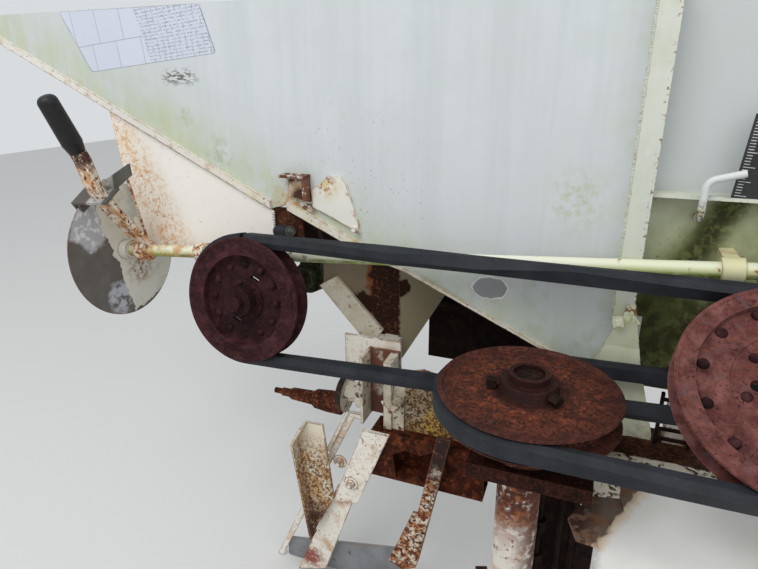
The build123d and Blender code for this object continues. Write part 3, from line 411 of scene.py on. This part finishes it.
# bare pressed steel left outdoors: matt oxide, darker in the pits, with orange bloom and loose scale
rustTones = {
    "maroonRustAndShade": {"deep": "#150809", "mid": "#30181A", "light": "#512E31", "orange": "#5E2F2A",
                   "bloom": 0.5, "pit": 2.6, "over": [
        # painted shade: the drive pulley's recessed web darkened inside its rim
        patch("#1C0C0D", 30, 0.1, 0.6, rough=0.8, height=0.4,
              near=((-0.267, -0.083, -0.085), 0.052, 0.062), share=0.55)]},
    "roseRust": {"deep": "#351B1A", "mid": "#5F3733", "light": "#80544F", "orange": "#844836",
                 "bloom": 0.45, "pit": 4.0, "over": [
        patch("#5A4547", 12, 0.56, 0.64, rough=0.7, height=0.5, detail=8.0, share=0.7)]},
    "rivetRust": {"deep": "#140809", "mid": "#2A1315", "light": "#5A3536", "orange": "#40211D",
                  "bloom": 0.4, "pit": 2.0},
    "orangeRust": {"deep": "#1C0D0A", "mid": "#4A2318", "light": "#7A442C", "orange": "#A8653C",
                   "bloom": 0.85, "pit": 5.0},
    "brownRust": {"deep": "#150B08", "mid": "#3C2016", "light": "#64402E", "orange": "#8A5530",
                  "bloom": 0.6, "pit": 4.0},
    "rearRust": {"deep": "#150B08", "mid": "#3C2016", "light": "#5C3B2A", "orange": "#8A5530", "bloom": 0.5,
                 "pit": 4.0, "over": [
        patch("#CDC6B6", 9, 0.44, 0.50, ragged=(8, 0.006), toward=((0, -1, 0), 0.046, 0.049))]},
    "beamRust": {"deep": "#160A07", "mid": "#401A0E", "light": "#66331E", "orange": "#96502A", "bloom": 0.5,
                 "pit": 7.0},
    # the spindle bracket's rust, painted very dark, partly as painted shade of its place under the belt
    "bracketRustAndShade": {"deep": "#100705", "mid": "#2C150F", "light": "#4A261C", "orange": "#70391F",
                    "bloom": 0.5, "pit": 4.0},
    "sootRust": {"deep": "#080505", "mid": "#17100D", "light": "#2E1D16", "orange": "#4A2B1A", "bloom": 0.4,
                 "pit": 4.0},
    "mossIron": {"deep": "#0C0D09", "mid": "#24261C", "light": "#40442C", "orange": "#525C33", "bloom": 0.7,
                 "pit": 6.0},
}


def rustedSteel(name, tones):
    pit = tones["pit"]
    return layered(name, {"base": tones["mid"], "rough": 0.82, "shine": 0.15, "height": 0.6,
                          "depth": 0.0007, "coats": [
        patch(tones["deep"], 30, 0.38, 0.72, rough=0.85, height=0.5),
        patch(tones["light"], 14, 0.46, 0.70, rough=0.8, height=0.8, detail=8.0, share=0.8),
        patch(tones["orange"], pit, 0.52, 0.66, rough=0.88, share=tones["bloom"]),
        patch(tones["deep"], pit * 0.7, 0.58, 0.66, rough=0.9, height=0.0, share=0.8),
        # lighter edges: partly rubbed oxide, partly painted highlight on rims, rivets and hub edges
        patch(tones["light"], 10, 0.35, 0.55, rough=0.7, height=0.7, edges=0.0018, share=0.8),
        *tones.get("over", []),
    ]})


spinHub = (0.129, -0.144, -0.1125)
otherLooks = {
    # the spinner pulley's thick wet rust: darker at its rim, orange and flaking between, with painted shade
    # round the hub
    "spinnerRustAndShade": {"base": "#3A1D16", "rough": 0.7, "shine": 0.2, "height": 0.5, "depth": 0.0009,
                    "coats": [
        patch("#572C20", 22, 0.38, 0.62),
        patch("#6E3723", 11, 0.48, 0.62, rough=0.8, height=0.7, detail=8.0, near=(spinHub, 0.066, 0.090)),
        patch("#8E4D2B", 4.2, 0.54, 0.61, rough=0.85, height=0.8, detail=8.0,
              near=(spinHub, 0.062, 0.088), share=0.6),
        patch("#4A3A3B", 12, 0.60, 0.68, height=0.5, detail=8.0, share=0.6),
        patch("#2A1410", 12, 0.50, 0.62, rough=0.9, height=0.2, detail=9.0, share=0.6),
        patch("#26110E", 4.0, 0.53, 0.60, rough=0.9, height=0.1, detail=8.0, share=0.75),
        # painted shade: a dark ring round the hub
        patch("#220F0C", 24, 0.05, 0.30, near=(spinHub, 0.036, 0.048), share=0.9),
        patch("#5E352C", 9, 0.4, 0.55, height=0.7, edges=0.002, share=0.7)]},
    # cord-filled belt rubber: dull, grey where it has worn, with fine frayed lines
    "belt": {"base": "#212327", "rough": 0.6, "shine": 0.2, "height": 0.5, "depth": 0.0004, "coats": [
        patch("#32353B", 40, 0.4, 0.65, rough=0.7, height=0.5, share=0.7),
        patch("#0D0E10", 3.0, 0.56, 0.66, rough=0.8, height=0.1, detail=8.0, share=0.4),
        patch("#5C5A56", 4, 0.66, 0.72, rough=0.8, height=0.8, share=0.5),
        patch("#4C4B4A", 5, 0.5, 0.6, rough=0.8, edges=0.0012, share=0.5)]},
    # moulded soft vinyl: near black, faintly glossy, scuffed to the metal at its foot
    "grip": {"base": "#1C1A1B", "rough": 0.46, "shine": 0.3, "height": 0.5, "depth": 0.0002, "coats": [
        patch("#2C2A29", 12, 0.4, 0.7, height=0.55, share=0.5),
        patch("#0C0B0C", 1.5, 0.6, 0.7, height=0.2),
        patch("#8A7562", 7, 0.56, 0.62, rough=0.8, toward=((0.06, 0.35, -0.93), -0.175, -0.150))]},
    # galvanised bracket steel: a pale bloom on the plate, and bare dark grey along the tab
    "zinc": {"base": "#A5A6A2", "rough": 0.45, "height": 0.5, "depth": 0.0003, "metallic": 0.3, "coats": [
        patch("#C9C8C0", 9, 0.42, 0.6, height=0.6, share=0.7),
        patch("#5A5A54", 30, toward=((1, 0, 0), -0.484, -0.480)),
        patch("#57524C", 30, toward=((-1, 0, 0), 0.508, 0.514)),
        patch("#6E5340", 8, 0.58, 0.66, rough=0.8, height=0.3, detail=7.0)]},
    # hot-dipped shelf sheet: even dull grey, with water marks
    "dippedSheet": {"base": "#7C7E80", "rough": 0.5, "height": 0.5, "depth": 0.0003, "metallic": 0.3,
                    "coats": [
        patch("#94979A", 30, 0.4, 0.6, share=0.7),
        patch("#6A5746", 9, 0.6, 0.68, rough=0.8, height=0.3),
        patch("#8A6A50", 9, 0.45, 0.55, rough=0.8, edges=0.003)]},
    # the dial's sheet steel: bare and dark on the left with bright scrapes, old white paint on the right
    "dial": {"base": "#57514B", "rough": 0.55, "height": 0.3, "depth": 0.0007, "coats": [
        patch("#68635E", 30, 0.40, 0.62, rough=0.5, height=0.35, share=0.7),
        patch("#A9ABB0", 26, 0.22, 0.34, rough=0.45, height=0.4, detail=9.0, ragged=(16, 0.03),
              near=((-0.529, -0.091, -0.002), 0.032, 0.038)),
        patch("#D2D3D6", 9, 0.50, 0.58, rough=0.45, height=0.4, detail=9.0,
              near=((-0.529, -0.091, -0.002), 0.026, 0.036)),
        patch("#A9ABB0", 16, 0.40, 0.50, rough=0.45, height=0.4, detail=9.0, ragged=(16, 0.03),
              near=((-0.529, -0.060, -0.125), 0.022, 0.032)),
        patch("#CFCCBF", rough=0.5, ragged=(18, 0.034), toward=(dialAcross, -0.0690, -0.0675)),
        patch("#A9A291", 16, 0.5, 0.66, toward=(dialAcross, -0.066, -0.050), share=0.6),
        patch("#57514B", height=0.4, ragged=(18, 0.03), toward=((0, 0.3, -0.954), 0.137, 0.139)),
        patch("#8A5836", 7, 0.46, 0.56, rough=0.85, height=0.4,
              near=((-0.529, -0.012, -0.090), 0.008, 0.034)),
        patch("#6B432C", 10, 0.4, 0.5, rough=0.85, height=0.2, edges=0.003)]},
    # the stub's dark ring, with cream paint left on its inner hub
    "stub": {"base": "#2A2622", "rough": 0.7, "shine": 0.2, "height": 0.4, "depth": 0.0007, "coats": [
        patch("#453022", 12, 0.45, 0.6, rough=0.85),
        patch("#CDC7B6", 40, 0.2, 0.3, height=0.8, toward=((1, 0, 0), -0.1425, -0.1418)),
        patch("#5A3A28", 7, 0.54, 0.6, rough=0.85, height=0.3)]},
    # thin screen-printed paint, flat and slightly grimy
    "black": {"base": "#15161A", "rough": 0.5, "depth": 0.0002, "coats": [
        patch("#3B3B38", 18, 0.4, 0.7, share=0.5)]},
    "tick": {"base": "#C9CBCB", "rough": 0.5, "depth": 0.0002, "coats": [
        patch("#7B7B74", 6, 0.45, 0.65, share=0.7)]},
    "ink": {"base": "#7E848F", "rough": 0.4, "depth": 0.0001, "coats": [
        patch("#B4BAC6", 12, 0.45, 0.6, share=0.7)]},
}

finishes = {name: layered(name + "Enamel", look) for name, look in enamelLooks.items()}
finishes.update({name: rustedSteel(name, tones) for name, tones in rustTones.items()})
finishes.update({name: layered(name + "Finish", look) for name, look in otherLooks.items()})
finishes["wall"] = chippedWall()

finishedNodes = {
    "wall": ["end_wall"],
    "white": ["mounting_pad", "side_sheet", "cross_member", "right_post"],
    "flange": ["edge_flange"],
    "leg": ["leg_plate"],
    "cream": ["wall_ribs", "window_sill"],
    "foot": ["rib_foot"],
    "smooth": ["window_jambs", "upper_panel"],
    "algaeAndShade": ["lower_panel"],
    "black": ["scale_strip"],
    "rod": ["pointer_rod"],
    "tab": ["wall_tabs"],
    "brownRust": ["notch_plate", "mule_arm", "idler_pin", "idler_arm"],
    "bar": ["torque_bar"],
    "lever": ["lever_arm", "bar_collar"],
    "grip": ["lever_grip"],
    "zinc": ["lever_clamp"],
    "strap": ["gate_crank", "dial_bracket", "window_post", "chute_bracket", "pivot_strap", "guard_bars"],
    "dial": ["dial_disc"],
    "sleeve": ["bar_sleeve"],
    "maroonRustAndShade": ["drive_pulley", "drive_shaft", "idler_sheave"],
    "mossIron": ["drive_bearing"],
    "sootRust": ["bearing_hanger", "spinner_shaft", "conveyor_ladder", "trough_sheet", "link_rods"],
    "spinnerRustAndShade": ["spinner_pulley", "spinner_disc"],
    "spindle": ["spindle_housing"],
    "bracketRustAndShade": ["spindle_bracket"],
    "roseRust": ["mule_sheave", "mule_pin"],
    "belt": ["drive_belt"],
    "beamRust": ["front_beam"],
    "dippedSheet": ["side_rail"],
    "rearRust": ["rear_beam"],
    "post": ["channel_post"],
    "chute": ["chute_plate"],
    "strip": ["chute_bar"],
    "stub": ["stub_bearing"],
    "orangeRust": ["stub_pin"],
    "angle": ["hanger_angle"],
    "diagonal": ["diagonal_bar"],
    "deck": ["deck_sheet"],
}
for finish, nodes in finishedNodes.items():
    for node in nodes:
        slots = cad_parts[node].data.materials
        slots.clear()
        slots.append(finishes[finish])
print("finishes made")


# small pieces made with Geometry Nodes

def openTree(name, sizes):
    # a geometry tree with a named input for each size, and one for the finish
    tree = bpy.data.node_groups.new(name, "GeometryNodeTree")
    tree.interface.new_socket("Geometry", in_out="INPUT", socket_type="NodeSocketGeometry")
    tree.interface.new_socket("Geometry", in_out="OUTPUT", socket_type="NodeSocketGeometry")
    for label, value in sizes.items():
        kind = "NodeSocketInt" if isinstance(value, int) else "NodeSocketFloat"
        tree.interface.new_socket(label, in_out="INPUT", socket_type=kind).default_value = value
    tree.interface.new_socket("Finish", in_out="INPUT", socket_type="NodeSocketMaterial")
    return tree, addNode(tree, "NodeGroupInput", {}).outputs


def closeTree(tree, given, copies):
    # ends a tree: its copies become one mesh with the finish set
    real = addNode(tree, "GeometryNodeRealizeInstances", {"Geometry": copies}).outputs[0]
    painted = addNode(tree, "GeometryNodeSetMaterial", {"Geometry": real, "Material": given["Finish"]})
    addNode(tree, "NodeGroupOutput", {"Geometry": painted.outputs[0]})


def addObject(name, data):
    # a new object in the scene
    made = bpy.data.objects.new(name, data)
    bpy.context.scene.collection.objects.link(made)
    return made


def grow(name, body, tree, values, finish, place=Matrix.Identity(4), base=None):
    # runs a tree on a base mesh, keeps the result as a plain mesh at its place and lets it ride on a body
    source = addObject(name + "Base", base or bpy.data.meshes.new(name + "Base"))
    modifier = source.modifiers.new(name, "NODES")
    modifier.node_group = tree
    for item in tree.interface.items_tree:
        if item.in_out == "INPUT" and item.name in values:
            modifier[item.identifier] = values[item.name]
        if item.in_out == "INPUT" and item.name == "Finish":
            modifier[item.identifier] = finishes[finish]
    reading = bpy.context.evaluated_depsgraph_get()
    plain = bpy.data.meshes.new_from_object(source.evaluated_get(reading), depsgraph=reading)
    plain.transform(place)
    bpy.data.objects.remove(source)
    return addPiece(name, body, plain)


def addPiece(name, body, mesh, finish=None):
    # an object at the origin that rides on a body
    if finish:
        mesh.materials.append(finishes[finish])
    piece = addObject(name, mesh)
    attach(piece, body)
    return piece


def standing(centre, axis):
    # a place with its Z along an axis and its X along the wall
    up = Vector(axis).normalized()
    side = (Vector((1, 0, 0)) - up * up.x).normalized()
    turned = Matrix((side, up.cross(side), up)).transposed().to_4x4()
    return Matrix.Translation(centre) @ turned


def makeRivetRing():
    # domed rivet heads, evenly spaced on a circle
    sizes = {"Count": 12, "Ring Radius": 0.05, "Head Radius": 0.004, "Head Height": 0.003}
    tree, given = openTree("rivetRing", sizes)
    circle = {"Vertices": given["Count"], "Radius": given["Ring Radius"]}
    ring = addNode(tree, "GeometryNodeMeshCircle", circle).outputs[0]
    ball = {"Segments": 16, "Rings": 10, "Radius": 1.0}
    head = addNode(tree, "GeometryNodeMeshUVSphere", ball).outputs["Mesh"]
    head = addNode(tree, "GeometryNodeSetShadeSmooth", {"Geometry": head}).outputs[0]
    dome = {"X": given["Head Radius"], "Y": given["Head Radius"], "Z": given["Head Height"]}
    dome = addNode(tree, "ShaderNodeCombineXYZ", dome).outputs[0]
    heads = addNode(tree, "GeometryNodeInstanceOnPoints", {"Points": ring, "Instance": head, "Scale": dome})
    closeTree(tree, given, heads.outputs[0])
    return tree


boltSizes = {"Sides": 6, "Head Radius": 0.0066, "Head Height": 0.0050, "Washer Radius": 0.0086,
             "Washer Height": 0.0014, "Stub Radius": 0.0036, "Stub Height": 0.0034}


def makeBolts():
    # bolt heads on their washers; each point of the base carries the way that its bolt faces
    tree, given = openTree("boltHeads", boltSizes)
    rise = given["Washer Height"]
    top = reckoned(tree, "ADD", given["Head Height"], rise)
    bolt = addNode(tree, "GeometryNodeJoinGeometry", {})
    for sides, radius, height, low in (
            (24, given["Washer Radius"], given["Washer Height"], 0.0),
            (given["Sides"], given["Head Radius"], given["Head Height"], rise),
            (16, given["Stub Radius"], given["Stub Height"], top)):
        bar = {"Vertices": sides, "Radius": radius, "Depth": height}
        solid = addNode(tree, "GeometryNodeMeshCylinder", bar).outputs["Mesh"]
        half = reckoned(tree, "MULTIPLY", height, 0.5)
        lift = reckoned(tree, "ADD", half, low)
        lift = addNode(tree, "ShaderNodeCombineXYZ", {"Z": lift}).outputs[0]
        solid = addNode(tree, "GeometryNodeTransform", {"Geometry": solid, "Translation": lift}).outputs[0]
        tree.links.new(solid, bolt.inputs[0])
    vector = {"data_type": "FLOAT_VECTOR"}
    facing = addNode(tree, "GeometryNodeInputNamedAttribute", {"Name": "facing"}, **vector)
    upright = {"Vector": facing.outputs["Attribute"]}
    turn = addNode(tree, "FunctionNodeAlignRotationToVector", upright, axis="Z").outputs[0]
    anyTurn = {"Min": (0, 0, 0), "Max": (0, 0, 6.283), "Seed": 4}
    spin = addNode(tree, "FunctionNodeRandomValue", anyTurn, **vector).outputs[0]
    spin = addNode(tree, "FunctionNodeEulerToRotation", {"Euler": spin}).outputs[0]
    spun = {"Rotation": turn, "Rotate By": spin}
    turn = addNode(tree, "FunctionNodeRotateRotation", spun, rotation_space="LOCAL").outputs[0]
    bolts = {"Points": given["Geometry"], "Instance": bolt.outputs[0], "Rotation": turn}
    closeTree(tree, given, addNode(tree, "GeometryNodeInstanceOnPoints", bolts).outputs[0])
    return tree


weldSizes = {"Drop Radius": 0.0026, "Step": 0.0024, "Seed": 5}


def makeWeld():
    # a hand-laid weld bead: flattened drops that overlap along a path
    tree, given = openTree("weldBead", weldSizes)
    path = addNode(tree, "GeometryNodeMeshToCurve", {"Mesh": given["Geometry"]}).outputs[0]
    steps = {"Curve": path, "Length": given["Step"]}
    path = addNode(tree, "GeometryNodeResampleCurve", steps, mode="LENGTH").outputs[0]
    ball = {"Radius": given["Drop Radius"], "Subdivisions": 2}
    drop = addNode(tree, "GeometryNodeMeshIcoSphere", ball).outputs["Mesh"]
    drop = addNode(tree, "GeometryNodeSetShadeSmooth", {"Geometry": drop}).outputs[0]
    spreadOut = {"Min": (0.8, 0.8, 0.7), "Max": (1.15, 1.15, 1.0), "Seed": given["Seed"]}
    size = addNode(tree, "FunctionNodeRandomValue", spreadOut, data_type="FLOAT_VECTOR").outputs[0]
    drops = {"Points": path, "Instance": drop, "Scale": size}
    closeTree(tree, given, addNode(tree, "GeometryNodeInstanceOnPoints", drops).outputs[0])
    return tree


# the marks of the rate scale, printed down the strip's left edge
ticks = {"place": (0.3085, -0.0112, 0.086), "lean": 4.65, "longEvery": 5.0,
         "sizes": {"Count": 27, "Pitch": 0.003, "Short": 0.0055, "Long": 0.0110, "Thickness": 0.0008,
                   "Depth": 0.0005}}


def makeTicks():
    # a column of printed marks, long and short
    tree, given = openTree("scaleTicks", ticks["sizes"])
    step = addNode(tree, "ShaderNodeCombineXYZ", {"Z": given["Pitch"]}).outputs[0]
    line = addNode(tree, "GeometryNodeMeshLine", {"Count": given["Count"], "Offset": step}).outputs[0]
    order = addNode(tree, "GeometryNodeInputIndex", {}).outputs[0]
    left = reckoned(tree, "MODULO", order, ticks["longEvery"])
    isLong = reckoned(tree, "LESS_THAN", left, 0.5)
    length = addNode(tree, "ShaderNodeMix", {"Factor": isLong, 2: given["Short"], 3: given["Long"]})
    size = {"X": length.outputs[0], "Y": given["Depth"], "Z": given["Thickness"]}
    size = addNode(tree, "ShaderNodeCombineXYZ", size).outputs[0]
    mark = addNode(tree, "GeometryNodeMeshCube", {"Size": (1, 1, 1)}).outputs["Mesh"]
    mark = addNode(tree, "GeometryNodeTransform", {"Geometry": mark, "Translation": (0.5, 0, 0)}).outputs[0]
    marks = addNode(tree, "GeometryNodeInstanceOnPoints", {"Points": line, "Instance": mark, "Scale": size})
    closeTree(tree, given, marks.outputs[0])
    return tree


def pathMesh(name, points):
    mesh = bpy.data.meshes.new(name)
    links = [(i, i + 1) for i in range(len(points) - 1)]
    mesh.from_pydata([Vector(place) * mm for place in points], links, [])
    return mesh


def addBolts(name, body, sizes, finish, bolts):
    # bolts at points in millimetres, each with the way that it faces
    mesh = bpy.data.meshes.new(name + "Points")
    mesh.from_pydata([Vector(place) * mm for place, facing in bolts], [], [])
    ways = mesh.attributes.new("facing", "FLOAT_VECTOR", "POINT")
    for count, (place, facing) in enumerate(bolts):
        ways.data[count].vector = Vector(facing).normalized()
    grow(name, body, boltHeads, {**boltSizes, **sizes}, finish, base=mesh)


rivetRing = makeRivetRing()
boltHeads = makeBolts()
weldBead = makeWeld()
scaleTicks = makeTicks()

driveWheel = {
    "centre": (-0.267, -0.083141, -0.084966), "axis": (0, -0.987688, 0.156434), "face": 0.004,
    "hubFace": 0.008,
    "outer": {"Count": 12, "Ring Radius": 0.0500, "Head Radius": 0.0055, "Head Height": 0.0046},
    "inner": {"Count": 7, "Ring Radius": 0.0245, "Head Radius": 0.0034, "Head Height": 0.0028}}
muleWheel = {
    "centre": (0.368, -0.15425, -0.0635), "axis": (0, -0.589596, 0.807698), "face": 0.007, "hubFace": 0.005,
    "outer": {"Count": 13, "Ring Radius": 0.0830, "Head Radius": 0.0058, "Head Height": 0.0044,
              "Turn": 4.5},
    "inner": {"Count": 7, "Ring Radius": 0.0480, "Head Radius": 0.0052, "Head Height": 0.0040, "Turn": 41}}
for name, body, wheel in (("driveRivets", "drive", driveWheel), ("muleRivets", "mule", muleWheel)):
    for ring, face in (("outer", wheel["face"]), ("inner", wheel["hubFace"])):
        place = standing(wheel["centre"], wheel["axis"]) @ Matrix.Translation((0, 0, face))
        place = place @ Matrix.Rotation(math.radians(wheel[ring].get("Turn", 0)), 4, "Z")
        grow(name + ring.capitalize(), body, rivetRing, wheel[ring], "rivetRust", place)

# two square-headed set screws stand out from the spinner pulley's hub
setScrews = {"centre": (129, -144, -105), "radius": 31, "turns": (196, 320),
             "sizes": {"Sides": 4, "Head Radius": 0.0068, "Head Height": 0.010, "Washer Radius": 0.0042,
                       "Washer Height": 0.004, "Stub Radius": 0.002, "Stub Height": 0.0005}}
screws = []
for turn in setScrews["turns"]:
    way = Vector((math.cos(math.radians(turn)), math.sin(math.radians(turn)), 0))
    screws.append((Vector(setScrews["centre"]) + way * setScrews["radius"], way))
addBolts("hubSetScrews", "spinner", setScrews["sizes"], "sootRust", screws)

# hexagon bolts on the frame and the lever, and a square nut painted over with the rib's cream; the
# flange's turns are in radians
frontWay = (0, -1, 0)
notchWay = (0.95, -0.3, 0.1)
spindleFlange = {"centre": (129, -144), "top": -182, "radius": 34, "turns": (0.6, 2.2, 3.7, 5.3)}
flangePlaces = []
for turn in spindleFlange["turns"]:
    x = spindleFlange["centre"][0] + spindleFlange["radius"] * math.cos(turn)
    y = spindleFlange["centre"][1] + spindleFlange["radius"] * math.sin(turn)
    flangePlaces.append(((x, y, spindleFlange["top"]), (0, 0, 1)))
boltGroups = {
    "strapBolts": ("frame", "strap", {"Washer Radius": 0.0115},
                   [((-123, -66, -373), frontWay), ((-149, -48, -353), frontWay)]),
    "gussetStud": ("frame", "tab", {"Sides": 20, "Head Radius": 0.0044, "Washer Radius": 0.0048},
                   [((-129, -12, 11), frontWay)]),
    "notchBearing": ("frame", "belt",
                     {"Sides": 24, "Head Radius": 0.0090, "Head Height": 0.022, "Washer Radius": 0.0075,
                      "Washer Height": 0.004, "Stub Radius": 0.0070, "Stub Height": 0.002},
                     [((-256, -10, -4), notchWay)]),
    "notchBolt": ("frame", "zinc", {"Head Radius": 0.0062, "Head Height": 0.004},
                  [((-230, -18, -1), notchWay)]),
    "clampBolt": ("rate_lever", "zinc", {"Head Radius": 0.0058}, [((-495, -79, 61), frontWay)]),
    "flangeBolts": ("frame", "brownRust", {"Head Radius": 0.0060}, flangePlaces),
    "ribNut": ("frame", "foot",
               {"Sides": 4, "Head Radius": 0.0085, "Head Height": 0.006, "Washer Radius": 0.0060,
                "Washer Height": 0.001, "Stub Radius": 0.0036, "Stub Height": 0.002},
               [((214, -29, -66), frontWay)]),
}
for name, (body, finish, sizes, places) in boltGroups.items():
    addBolts(name, body, sizes, finish, places)

tickPlace = Matrix.Translation(ticks["place"]) @ Matrix.Rotation(math.radians(ticks["lean"]), 4, "Y")
grow("scaleMarks", "frame", scaleTicks, ticks["sizes"], "tick", tickPlace)

# weld beads where the tabs, the ribs and the leg meet what carries them, in millimetres
welds = {
    "hookWeld": ([(-230, -10, 49), (-214, -10, 46), (-198, -10, 42)], "flange"),
    "gussetWeld": ([(-193, -10, 36), (-158, -10, 21), (-125, -10, 6)], "flange"),
    "ribWeld": ([(208, -10, -60), (208, -10, 296)], "cream"),
    "footWeld": ([(222, -29, -47), (236, -29, -66)], "foot"),
    "shelfWeld": ([(243, -11, -234), (272, -11, -234)], "brownRust"),
    "legWeld": ([(-260, -10, 24), (-262, -10, -33)], "leg"),
    "legSeam": ([(-524, -9.5, 55), (-502, -9.5, -42)], "lever"),
}
for name, (points, finish) in welds.items():
    grow(name, "frame", weldBead, weldSizes, finish, base=pathMesh(name + "Path", points))

# a printed rate chart, left as a plain grid, stuck on the end wall: wide cells on its left, close rows
# on its right
chart = {"corners": [(-604, 299), (-351, 299), (-332, 237.5), (-560, 215)], "tilt": 5.6, "wall": -9.0,
         "front": -9.3, "radius": 5.5, "border": 1.4, "borderFront": -9.2, "borderRadius": 6,
         "splitWay": (0.96, 0, 0.27), "splitAt": -0.36488, "splitWidth": 0.0005,
         "cells": {"Brick Width": 0.046, "Row Height": 0.061, "Mortar Size": 0.0007},
         "rows": {"Brick Width": 0.0098, "Row Height": 0.0044, "Mortar Size": 0.0011},
         "papers": ("#CDD2DE", "#C9CEDA"), "rule": "#8F939D", "faintRule": "#A7ABB5", "worn": "#CBD0DC",
         "wear": {"grain": 3.5, "low": 0.35, "high": 0.60, "seed": 3.0}}


def chartPaper():
    # glossy printed paper, pale blue-white, with grey rules
    material = bpy.data.materials.new("chartPaper")
    material.use_nodes = True
    tree = material.node_tree
    place = addNode(tree, "ShaderNodeTexCoord", {}).outputs["Object"]
    spot = place
    for turn in ((math.radians(-90), 0, 0), (0, 0, math.radians(-chart["tilt"]))):
        spot = addNode(tree, "ShaderNodeMapping", {"Vector": spot, "Rotation": turn}).outputs[0]
    grids = []
    for part, rule, offset in (("cells", "faintRule", 0.35), ("rows", "rule", 0.0)):
        look = {"Color1": linear(chart["papers"][0]), "Color2": linear(chart["papers"][1]),
                "Mortar": linear(chart[rule]), "Mortar Smooth": 0.3, "Scale": 1.0, **chart[part]}
        grid = addNode(tree, "ShaderNodeTexBrick", {"Vector": spot, **look}, offset=offset, squash=1.0)
        grids.append(grid.outputs["Color"])
    cells, rows = grids
    rows = tinted(tree, rows, blotches(tree, place, **chart["wear"]), chart["worn"])
    side = toward(tree, place, chart["splitWay"], chart["splitAt"], chart["splitAt"] + chart["splitWidth"])
    paper = addNode(tree, "ShaderNodeMix", {"Factor": side, 6: cells, 7: rows}, data_type="RGBA").outputs[2]
    shader = tree.nodes["Principled BSDF"]
    tree.links.new(paper, shader.inputs["Base Color"])
    shader.inputs["Roughness"].default_value = 0.35
    return material


finishes["chart"] = chartPaper()


def plate(name, body, outline, back, front, finish):
    # a thin upright plate from its outline in X and Z, in millimetres
    shape = bmesh.new()
    corners = [shape.verts.new((x * mm, back * mm, z * mm)) for x, z in outline]
    face = shape.faces.new(corners)
    pushed = bmesh.ops.extrude_face_region(shape, geom=[face])["geom"]
    pushed = [corner for corner in pushed if isinstance(corner, bmesh.types.BMVert)]
    bmesh.ops.translate(shape, verts=pushed, vec=(0, (front - back) * mm, 0))
    bmesh.ops.recalc_face_normals(shape, faces=shape.faces)
    mesh = bpy.data.meshes.new(name)
    shape.to_mesh(mesh)
    return addPiece(name, body, mesh, finish)


def rounded(corners, radius, steps=5):
    # the outline with each corner cut by a few short sides
    outline = []
    for count, corner in enumerate(corners):
        here = Vector(corner)
        before = (Vector(corners[count - 1]) - here).normalized() * radius + here
        after = (Vector(corners[(count + 1) % len(corners)]) - here).normalized() * radius + here
        for step in range(steps + 1):
            t = step / steps
            outline.append(before * (1 - t) ** 2 + here * 2 * t * (1 - t) + after * t ** 2)
    return outline


def inset(corners, amount):
    # the outline drawn in toward its middle
    middle = sum((Vector(corner) for corner in corners), Vector((0, 0))) / len(corners)
    return [Vector(corner) + (middle - Vector(corner)).normalized() * amount for corner in corners]


border = rounded(chart["corners"], chart["borderRadius"])
plate("chartBorder", "frame", border, chart["wall"], chart["borderFront"], "ink")
paper = rounded(inset(chart["corners"], chart["border"]), chart["radius"])
plate("rateChart", "frame", paper, chart["wall"], chart["front"], "chart")
print("small pieces made")


# camera, light and floor

view = {"place": (0.175, -0.700, 0.210), "down": 20.5, "left": 21.5, "roll": -0.5, "lens": 26.83,
        "sensor": 36.0, "nearest": 0.01}
cameraData = bpy.data.cameras.new("camera")
cameraData.lens = view["lens"]
cameraData.sensor_width = view["sensor"]
cameraData.clip_start = view["nearest"]
camera = addObject("camera", cameraData)
aim = Matrix.Translation(view["place"])
for degrees, axis in ((view["left"], "Z"), (90 - view["down"], "X"), (view["roll"], "Z")):
    aim = aim @ Matrix.Rotation(math.radians(degrees), 4, axis)
camera.matrix_world = aim
bpy.context.scene.camera = camera

lighting = {"sky": 0.85, "skyColour": "#E9ECEF", "key": 40.0, "keyPlace": (-0.6, -1.6, 2.2), "size": 1.6,
            "fill": 9.0, "fillPlace": (1.8, -1.2, 1.2), "aim": (0, 0, -0.1)}
world = bpy.data.worlds.new("overcast")
bpy.context.scene.world = world
world.use_nodes = True
world.node_tree.nodes["Background"].inputs["Color"].default_value = linear(lighting["skyColour"])
world.node_tree.nodes["Background"].inputs["Strength"].default_value = lighting["sky"]


def softLamp(name, place, power):
    data = bpy.data.lights.new(name, "AREA")
    data.energy = power
    data.size = lighting["size"]
    lamp = addObject(name, data)
    lamp.location = place
    lamp.rotation_euler = (Vector(lighting["aim"]) - Vector(place)).to_track_quat("-Z", "Y").to_euler()


softLamp("keyLamp", lighting["keyPlace"], lighting["key"])
softLamp("fillLamp", lighting["fillPlace"], lighting["fill"])

ground = {"size": 6.0, "gap": 0.002, "paint": "#D4D4D2", "rough": 0.9}
floorMesh = bpy.data.meshes.new("floor")
floorShape = bmesh.new()
bmesh.ops.create_grid(floorShape, x_segments=1, y_segments=1, size=ground["size"])
bmesh.ops.translate(floorShape, verts=floorShape.verts, vec=(0, 0, cadBox[0].z - ground["gap"]))
floorShape.to_mesh(floorMesh)
floor = addObject("floor", floorMesh)
floorPaint = bpy.data.materials.new("paleFloor")
floorPaint.use_nodes = True
floorShader = floorPaint.node_tree.nodes["Principled BSDF"]
floorShader.inputs["Base Color"].default_value = linear(ground["paint"])
floorShader.inputs["Roughness"].default_value = ground["rough"]
floorMesh.materials.append(floorPaint)

bpy.context.scene.view_settings.view_transform = "Standard"

print("scene ready")
